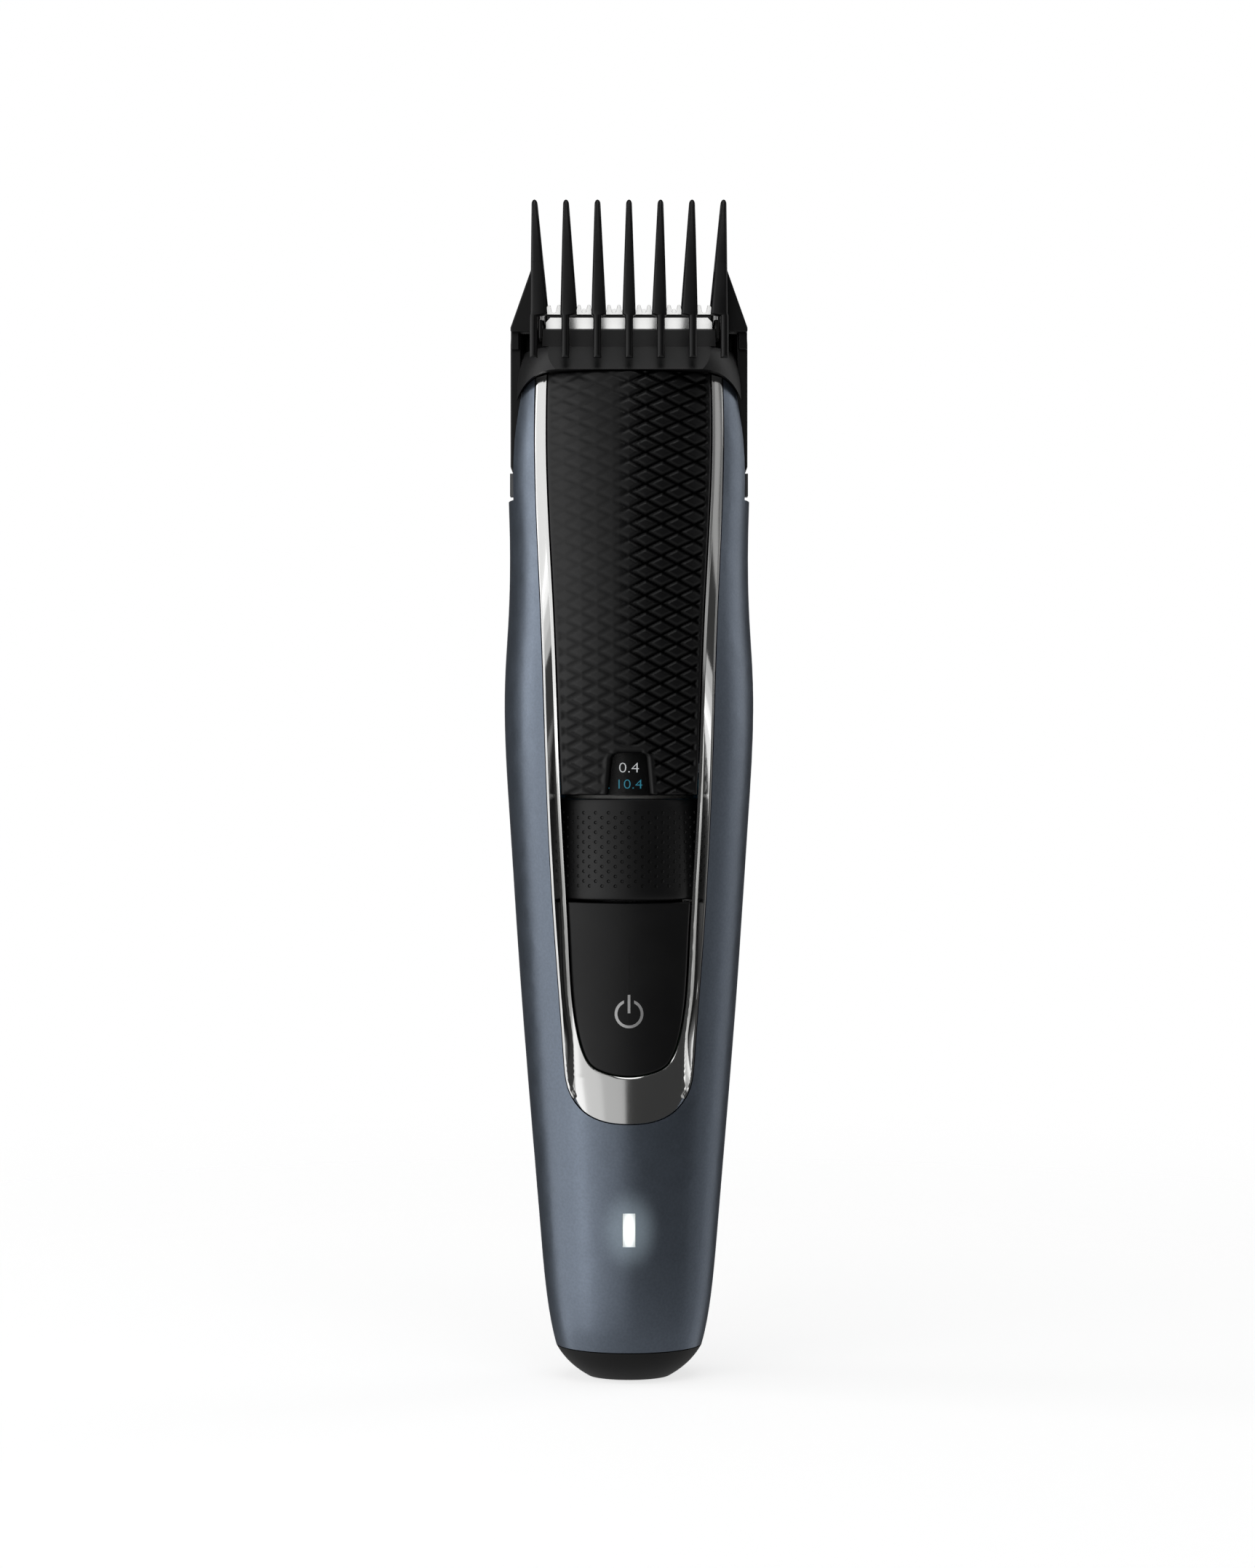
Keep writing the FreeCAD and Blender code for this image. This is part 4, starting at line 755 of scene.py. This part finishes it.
def new_material(name, color, metallic, roughness):
    material = bpy.data.materials.new(name)
    material.use_nodes = True
    shader = material.node_tree.nodes["Principled BSDF"]
    shader.inputs["Base Color"].default_value = (*color, 1)
    shader.inputs["Metallic"].default_value = metallic
    shader.inputs["Roughness"].default_value = roughness
    return material, material.node_tree, shader


def add_node(tree, kind, **values):
    """New shader node with the values of its sockets, in whose names _ stands for a space."""
    node = tree.nodes.new("ShaderNode" + kind)
    for socket, value in values.items():
        node.inputs[socket.replace("_", " ")].default_value = value
    return node


def add_maths(tree, kind, operation, source, by=None):
    """Maths or vector maths on an output, by a fixed second value if there is one."""
    node = add_node(tree, kind)
    node.operation = operation
    if by is not None:
        node.inputs[1].default_value = by
    tree.links.new(source, node.inputs[0])
    return node


def surface_grain(tree, shader, scale, strength, distance, rough, spread, detail=4.0):
    """Fine moulded or blasted grain: bump, and roughness that varies a little around its value."""
    links = tree.links
    coords = add_node(tree, "TexCoord")
    noise = add_node(tree, "TexNoise", Scale=scale, Detail=detail)
    bump = add_node(tree, "Bump", Strength=strength, Distance=distance)
    links.new(coords.outputs["Object"], noise.inputs["Vector"])
    links.new(noise.outputs["Fac"], bump.inputs["Height"])
    links.new(bump.outputs["Normal"], shader.inputs["Normal"])
    patches = add_node(tree, "TexNoise", Scale=scale / 12, Detail=3)
    gloss = add_node(tree, "MapRange", From_Min=0.3, From_Max=0.7, To_Min=rough - spread,
                     To_Max=rough + spread)
    links.new(coords.outputs["Object"], patches.inputs["Vector"])
    links.new(patches.outputs["Fac"], gloss.inputs["Value"])
    links.new(gloss.outputs["Result"], shader.inputs["Roughness"])


def color_patches(tree, shader, low, high, scale):
    """Slight mottling of the base colour between two values."""
    coords = add_node(tree, "TexCoord")
    noise = add_node(tree, "TexNoise", Scale=scale, Detail=5)
    ramp = add_node(tree, "ValToRGB")
    for stop, position, color in zip(ramp.color_ramp.elements, (0.35, 0.65), (low, high)):
        stop.position = position
        stop.color = (*color, 1)
    tree.links.new(coords.outputs["Object"], noise.inputs["Vector"])
    tree.links.new(noise.outputs["Fac"], ramp.inputs["Fac"])
    tree.links.new(ramp.outputs["Color"], shader.inputs["Base Color"])


def plain_finish(name, color, metallic, roughness, grain=900, strength=0.12, vary=0.12):
    """Material with slight mottling, uneven gloss and a fine grain."""
    material, tree, shader = new_material(name, color, metallic, roughness)
    low = tuple(c * (1 - vary) for c in color)
    high = tuple(min(1.0, c * (1 + vary)) for c in color)
    color_patches(tree, shader, low, high, 260)
    surface_grain(tree, shader, grain, strength, 0.00006, roughness, roughness * 0.08)
    return material


def brushed_finish(name, color, roughness, stretch, strength=0.25):
    """Metal with fine brushed lines, stretched along the axis whose factor is small."""
    material, tree, shader = new_material(name, color, 1.0, roughness)
    links = tree.links
    coords = add_node(tree, "TexCoord")
    mapping = add_node(tree, "Mapping", Scale=stretch)
    noise = add_node(tree, "TexNoise", Scale=700, Detail=3)
    bump = add_node(tree, "Bump", Strength=strength, Distance=0.00002)
    gloss = add_node(tree, "MapRange", To_Min=roughness * 0.8, To_Max=roughness * 1.2)
    links.new(coords.outputs["Object"], mapping.inputs["Vector"])
    links.new(mapping.outputs["Vector"], noise.inputs["Vector"])
    links.new(noise.outputs["Fac"], bump.inputs["Height"])
    links.new(noise.outputs["Fac"], gloss.inputs["Value"])
    links.new(bump.outputs["Normal"], shader.inputs["Normal"])
    links.new(gloss.outputs["Result"], shader.inputs["Roughness"])
    return material


def fade_from_light(tree, shape, distances, values, curve):
    """Value that changes with the distance from the charge light's centre.

    shape weighs the three axes, so that 0 ignores one and less than 1 draws the glow out along it.
    """
    coords = add_node(tree, "TexCoord")
    offset = add_maths(tree, "VectorMath", "SUBTRACT", coords.outputs["Object"], LIGHT_CENTRE)
    weighed = add_maths(tree, "VectorMath", "MULTIPLY", offset.outputs["Vector"], shape)
    reach = add_maths(tree, "VectorMath", "LENGTH", weighed.outputs["Vector"])
    fade = add_node(tree, "MapRange", From_Min=distances[0], From_Max=distances[1],
                    To_Min=values[0], To_Max=values[1])
    fade.interpolation_type = curve
    tree.links.new(reach.outputs["Value"], fade.inputs["Value"])
    return coords, fade


def light_halo(tree, shader):
    """Soft glow in the lacquer round the charge light, on the front only."""
    coords, fade = fade_from_light(tree, (1, 0, 0.7), (0.0006, 0.0058), (0.15, 0.0), "SMOOTHERSTEP")
    parts = add_node(tree, "SeparateXYZ")
    tree.links.new(coords.outputs["Object"], parts.inputs["Vector"])
    in_front = add_maths(tree, "Math", "LESS_THAN", parts.outputs["Y"], -0.005)
    strength = add_maths(tree, "Math", "MULTIPLY", fade.outputs["Result"])
    tree.links.new(in_front.outputs["Value"], strength.inputs[1])
    tree.links.new(strength.outputs["Value"], shader.inputs["Emission Strength"])
    shader.inputs["Emission Color"].default_value = (0.72, 0.88, 1.0, 1)


def shell_paint():
    """Satin blue-grey lacquer with a fine metallic fleck."""
    material, tree, shader = new_material("blue_grey_lacquer", (0.2, 0.24, 0.3), 0.85, 0.33)
    shader.inputs["Coat Weight"].default_value = 0.15
    shader.inputs["Coat Roughness"].default_value = 0.25
    color_patches(tree, shader, (0.19, 0.225, 0.28), (0.215, 0.256, 0.32), 2600)
    surface_grain(tree, shader, 3200, 0.10, 0.00002, 0.33, 0.03, 2.0)
    light_halo(tree, shader)
    return material


def grooves_matt_painted_shade(material):
    """Let the grooves go matt, and paint their base colour nearly black: painted shade, standing in for
    the shade they lie in.
    """
    tree = material.node_tree
    shader = tree.nodes["Principled BSDF"]
    inside = add_node(tree, "Attribute")
    inside.attribute_name = "groove"
    gloss = add_node(tree, "MapRange", To_Min=0.5, To_Max=0.02)
    tree.links.new(inside.outputs["Fac"], gloss.inputs["Value"])
    tree.links.new(gloss.outputs["Result"], shader.inputs["Specular IOR Level"])
    shade = add_node(tree, "Mix")
    shade.data_type = "RGBA"
    # Painted shade: the base colour goes nearly black inside the grooves
    shade.inputs["B"].default_value = (0.0006, 0.0006, 0.0007, 1)
    shown = shader.inputs["Base Color"].links[0].from_socket
    tree.links.new(inside.outputs["Fac"], shade.inputs["Factor"])
    tree.links.new(shown, shade.inputs["A"])
    tree.links.new(shade.outputs["Result"], shader.inputs["Base Color"])
    return material


def glow(name, light, strength, color):
    """Print that gives off a little light of its own, so that it reads behind the dark window."""
    material, tree, shader = new_material(name, color, 0.0, 0.4)
    shader.inputs["Emission Color"].default_value = (*light, 1)
    shader.inputs["Emission Strength"].default_value = strength
    surface_grain(tree, shader, 1200, 0.1, 0.00005, 0.4, 0.03)
    return material


def light_lens():
    """Frosted lens, brightest along its middle line."""
    material, tree, shader = new_material("charge_light", (0.8, 0.85, 0.9), 0.0, 0.4)
    shader.inputs["Emission Color"].default_value = (0.95, 1.0, 0.97, 1)
    _, fade = fade_from_light(tree, (1, 0, 0.34), (0.0005, 0.0014), (1.0, 0.25), "SMOOTHSTEP")
    tree.links.new(fade.outputs["Result"], shader.inputs["Emission Strength"])
    surface_grain(tree, shader, 1200, 0.1, 0.00005, 0.4, 0.03)
    return material


def smoked_window():
    material, tree, shader = new_material("window_smoked", (0.004, 0.004, 0.004), 0.0, 0.06)
    shader.inputs["Alpha"].default_value = 0.14
    surface_grain(tree, shader, 200, 0.02, 0.00002, 0.06, 0.02)
    return material


def make_materials():
    """One material for each of the record's slots, and two for the numbers."""
    panel = plain_finish("panel_satin_black", (0.005, 0.005, 0.0055), 0.0, 0.40, 1800, 0.12)
    return {
        "blue_shell": shell_paint(),
        "soft_grip": plain_finish("soft_grip_rubber", (0.012, 0.0125, 0.013), 0.0, 0.62, 1500, 0.3),
        "black_plastic": plain_finish("black_matt_plastic", (0.006, 0.006, 0.0065), 0.0, 0.42, 1400, 0.2),
        "seal_rubber": plain_finish("seal_rubber", (0.02, 0.02, 0.02), 0.0, 0.7),
        "contact_metal": plain_finish("plated_contact", (0.78, 0.62, 0.32), 1.0, 0.25, 500, 0.05),
        "trim_steel": brushed_finish("trim_satin_chrome", (0.84, 0.84, 0.83), 0.14, (1, 1, 0.02), 0.1),
        "panel_black": grooves_matt_painted_shade(panel),
        "window_smoke": smoked_window(),
        "symbol_grey": plain_finish("symbol_silver", (0.9, 0.9, 0.9), 0.8, 0.35),
        "light_lens": light_lens(),
        "board_green": plain_finish("board_green", (0.01, 0.12, 0.045), 0.0, 0.35, 300, 0.2, 0.3),
        "screw_steel": brushed_finish("screw_zinc", (0.62, 0.62, 0.6), 0.3, (1, 1, 1)),
        "frame_plastic": plain_finish("frame_grey_plastic", (0.2, 0.205, 0.21), 0.0, 0.5),
        "battery_wrap": plain_finish("battery_sleeve", (0.02, 0.07, 0.25), 0.0, 0.3),
        "wire_cover": plain_finish("wire_red", (0.35, 0.012, 0.01), 0.0, 0.4),
        "wheel_black": plain_finish("wheel_satin_black", (0.005, 0.005, 0.0055), 0.0, 0.42, 1800, 0.12),
        "drum_plastic": plain_finish("drum_acetal", (0.55, 0.55, 0.53), 0.0, 0.35),
        "motor_steel": brushed_finish("motor_can_steel", (0.5, 0.51, 0.52), 0.3, (1, 1, 0.05)),
        "magnet_grey": plain_finish("magnet_grey", (0.08, 0.08, 0.085), 0.4, 0.6),
        "rotor_copper": brushed_finish("rotor_copper", (0.75, 0.33, 0.15), 0.35, (0.05, 0.05, 1)),
        "blade_steel": brushed_finish("blade_ground_steel", (0.78, 0.78, 0.77), 0.24, (0.04, 1, 1), 0.2),
        "comb_black": plain_finish("comb_satin_black", (0.005, 0.005, 0.0055), 0.0, 0.34, 1500, 0.1),
        "digit_white": glow("digit_white", (0.85, 0.88, 0.9), 0.6, (0.7, 0.7, 0.7)),
        "digit_blue": glow("digit_blue", (0.05, 0.3, 0.42), 0.6, (0.05, 0.3, 0.42)),
    }


# Scene

# The camera stands level in front; VIEW_HEIGHT is what the frame takes in at the handle's axis
CAMERA_X, CAMERA_Z, CAMERA_DISTANCE, VIEW_HEIGHT = -0.00024, 0.0955, 0.475, 0.2538
SENSOR = 36


def make_camera():
    data = bpy.data.cameras.new("front_camera")
    camera = bpy.data.objects.new("front_camera", data)
    bpy.context.scene.collection.objects.link(camera)
    camera.location = (CAMERA_X, -CAMERA_DISTANCE, CAMERA_Z)
    camera.rotation_euler = (math.radians(90), 0, 0)
    data.sensor_width = SENSOR
    data.lens = SENSOR * CAMERA_DISTANCE / VIEW_HEIGHT
    data.clip_start = 0.01
    bpy.context.scene.camera = camera


def strip_light(name, low, high, distance, radiance, foot=-0.55, top=0.85):
    """Upright soft light that fills the directions from low to high round the object, in degrees.

    0 is in front of the object and positive is to its right; radiance is what its face gives off.
    """
    middle = math.radians((low + high) / 2)
    width = 2 * distance * math.tan(math.radians((high - low) / 2))
    data = bpy.data.lights.new(name, "AREA")
    data.shape = "RECTANGLE"
    data.size = width
    data.size_y = top - foot
    data.energy = radiance * math.pi * width * (top - foot)
    light = bpy.data.objects.new(name, data)
    bpy.context.scene.collection.objects.link(light)
    light.location = (distance * math.sin(middle), -distance * math.cos(middle), (top + foot) / 2)
    light.rotation_euler = (math.radians(90), 0, middle)
    return light


def make_lights():
    """Soft lights on the left that fade towards the front, weaker ones on the right, and three more."""
    strip_light("left_edge", -107, -88, 0.95, 0.85)
    strip_light("left_edge_upper", -105, -90, 0.9, 0.9, 0.05)
    strip_light("left_wide", -88, -54, 1.0, 0.85)
    strip_light("left_bright", -57, -42, 1.05, 1.05)
    strip_light("left_near", -42, -24, 1.05, 0.62)
    strip_light("left_front", -24, -3, 1.1, 0.45)
    strip_light("right_wide", 76, 102, 1.0, 0.16)
    strip_light("right_trim", 60, 73, 1.0, 0.32, 0.09)
    strip_light("right_edge", 102, 130, 0.9, 0.4)
    strip_light("right_edge_upper", 102, 130, 0.95, 0.35, 0.05)
    strip_light("behind", 165, 195, 1.2, 0.3)
    over = strip_light("over_front", -24, 24, 0.9, 1.3, 0.0, 0.36)
    over.location = (0, -0.46, 0.94)
    over.rotation_euler = (math.radians(31), 0, 0)
    top = strip_light("top", -20, 20, 0.9, 0.6, 0.0, 0.6)
    top.location = (0, 0.1, 1.0)
    top.rotation_euler = (0, 0, 0)


def make_world():
    """White behind the object; dim in its reflections, but for the floor's bounce from below."""
    world = bpy.data.worlds.new("studio")
    bpy.context.scene.world = world
    world.use_nodes = True
    tree = world.node_tree
    tree.nodes.clear()
    out = add_node(tree, "OutputWorld")
    seen = add_node(tree, "Background", Color=(1, 1, 1, 1))
    lit = add_node(tree, "Background", Color=(1, 1, 1, 1))
    direction = add_node(tree, "TexCoord")
    parts = add_node(tree, "SeparateXYZ")
    bounce = add_node(tree, "MapRange", From_Min=-0.18, From_Max=-0.6, To_Min=0.04, To_Max=0.27)
    bounce.interpolation_type = "SMOOTHSTEP"
    tree.links.new(direction.outputs["Generated"], parts.inputs["Vector"])
    tree.links.new(parts.outputs["Z"], bounce.inputs["Value"])
    tree.links.new(bounce.outputs["Result"], lit.inputs["Strength"])
    path = add_node(tree, "LightPath")
    mix = add_node(tree, "MixShader")
    tree.links.new(path.outputs["Is Camera Ray"], mix.inputs["Fac"])
    tree.links.new(lit.outputs["Background"], mix.inputs[1])
    tree.links.new(seen.outputs["Background"], mix.inputs[2])
    tree.links.new(mix.outputs["Shader"], out.inputs["Surface"])


def make_floor():
    """Pale round floor that fades out, so that no horizon shows."""
    bpy.ops.mesh.primitive_circle_add(vertices=96, radius=0.45, fill_type="NGON",
                                      location=(0, 0, -0.0002))
    floor = bpy.context.object
    floor.name = "studio_floor"
    material = bpy.data.materials.new("pale_floor")
    material.use_nodes = True
    tree = material.node_tree
    tree.nodes.clear()
    out = add_node(tree, "OutputMaterial")
    clear = add_node(tree, "BsdfTransparent")
    white = add_node(tree, "Emission", Strength=0.72)
    soft = add_node(tree, "BsdfDiffuse", Color=(0.8, 0.8, 0.8, 1))
    both = add_node(tree, "AddShader")
    mix = add_node(tree, "MixShader")
    coords = add_node(tree, "TexCoord")
    far = add_maths(tree, "VectorMath", "LENGTH", coords.outputs["Object"])
    fade = add_node(tree, "MapRange", From_Min=0.05, From_Max=0.4)
    fade.interpolation_type = "SMOOTHSTEP"
    tree.links.new(far.outputs["Value"], fade.inputs["Value"])
    tree.links.new(white.outputs["Emission"], both.inputs[0])
    tree.links.new(soft.outputs["BSDF"], both.inputs[1])
    tree.links.new(fade.outputs["Result"], mix.inputs["Fac"])
    tree.links.new(both.outputs["Shader"], mix.inputs[1])
    tree.links.new(clear.outputs["BSDF"], mix.inputs[2])
    tree.links.new(mix.outputs["Shader"], out.inputs["Surface"])
    floor.data.materials.append(material)
    floor.visible_glossy = False
    floor.visible_diffuse = False
    floor.visible_shadow = False


def finish_cad_nodes(materials):
    """Give every carried-over node its material, by the record's slots."""
    for entry in frame["record"]["subparts"]:
        node = frame["nodes"][entry["node"]]
        node.data.materials.clear()
        node.data.materials.append(materials[entry["material_slot"]])


def main():
    bpy.context.scene.view_settings.view_transform = "Standard"
    make_camera()
    make_world()
    make_lights()
    make_floor()
    materials = make_materials()
    finish_cad_nodes(materials)
    front_panel(materials)
    power_button(materials)
    trim_frame(materials)
    zoom_wheel(materials)
    band_numbers(materials)
    comb(materials)
    blades(materials)
    rear_grip(materials)
    seam_tongue(materials)


main()
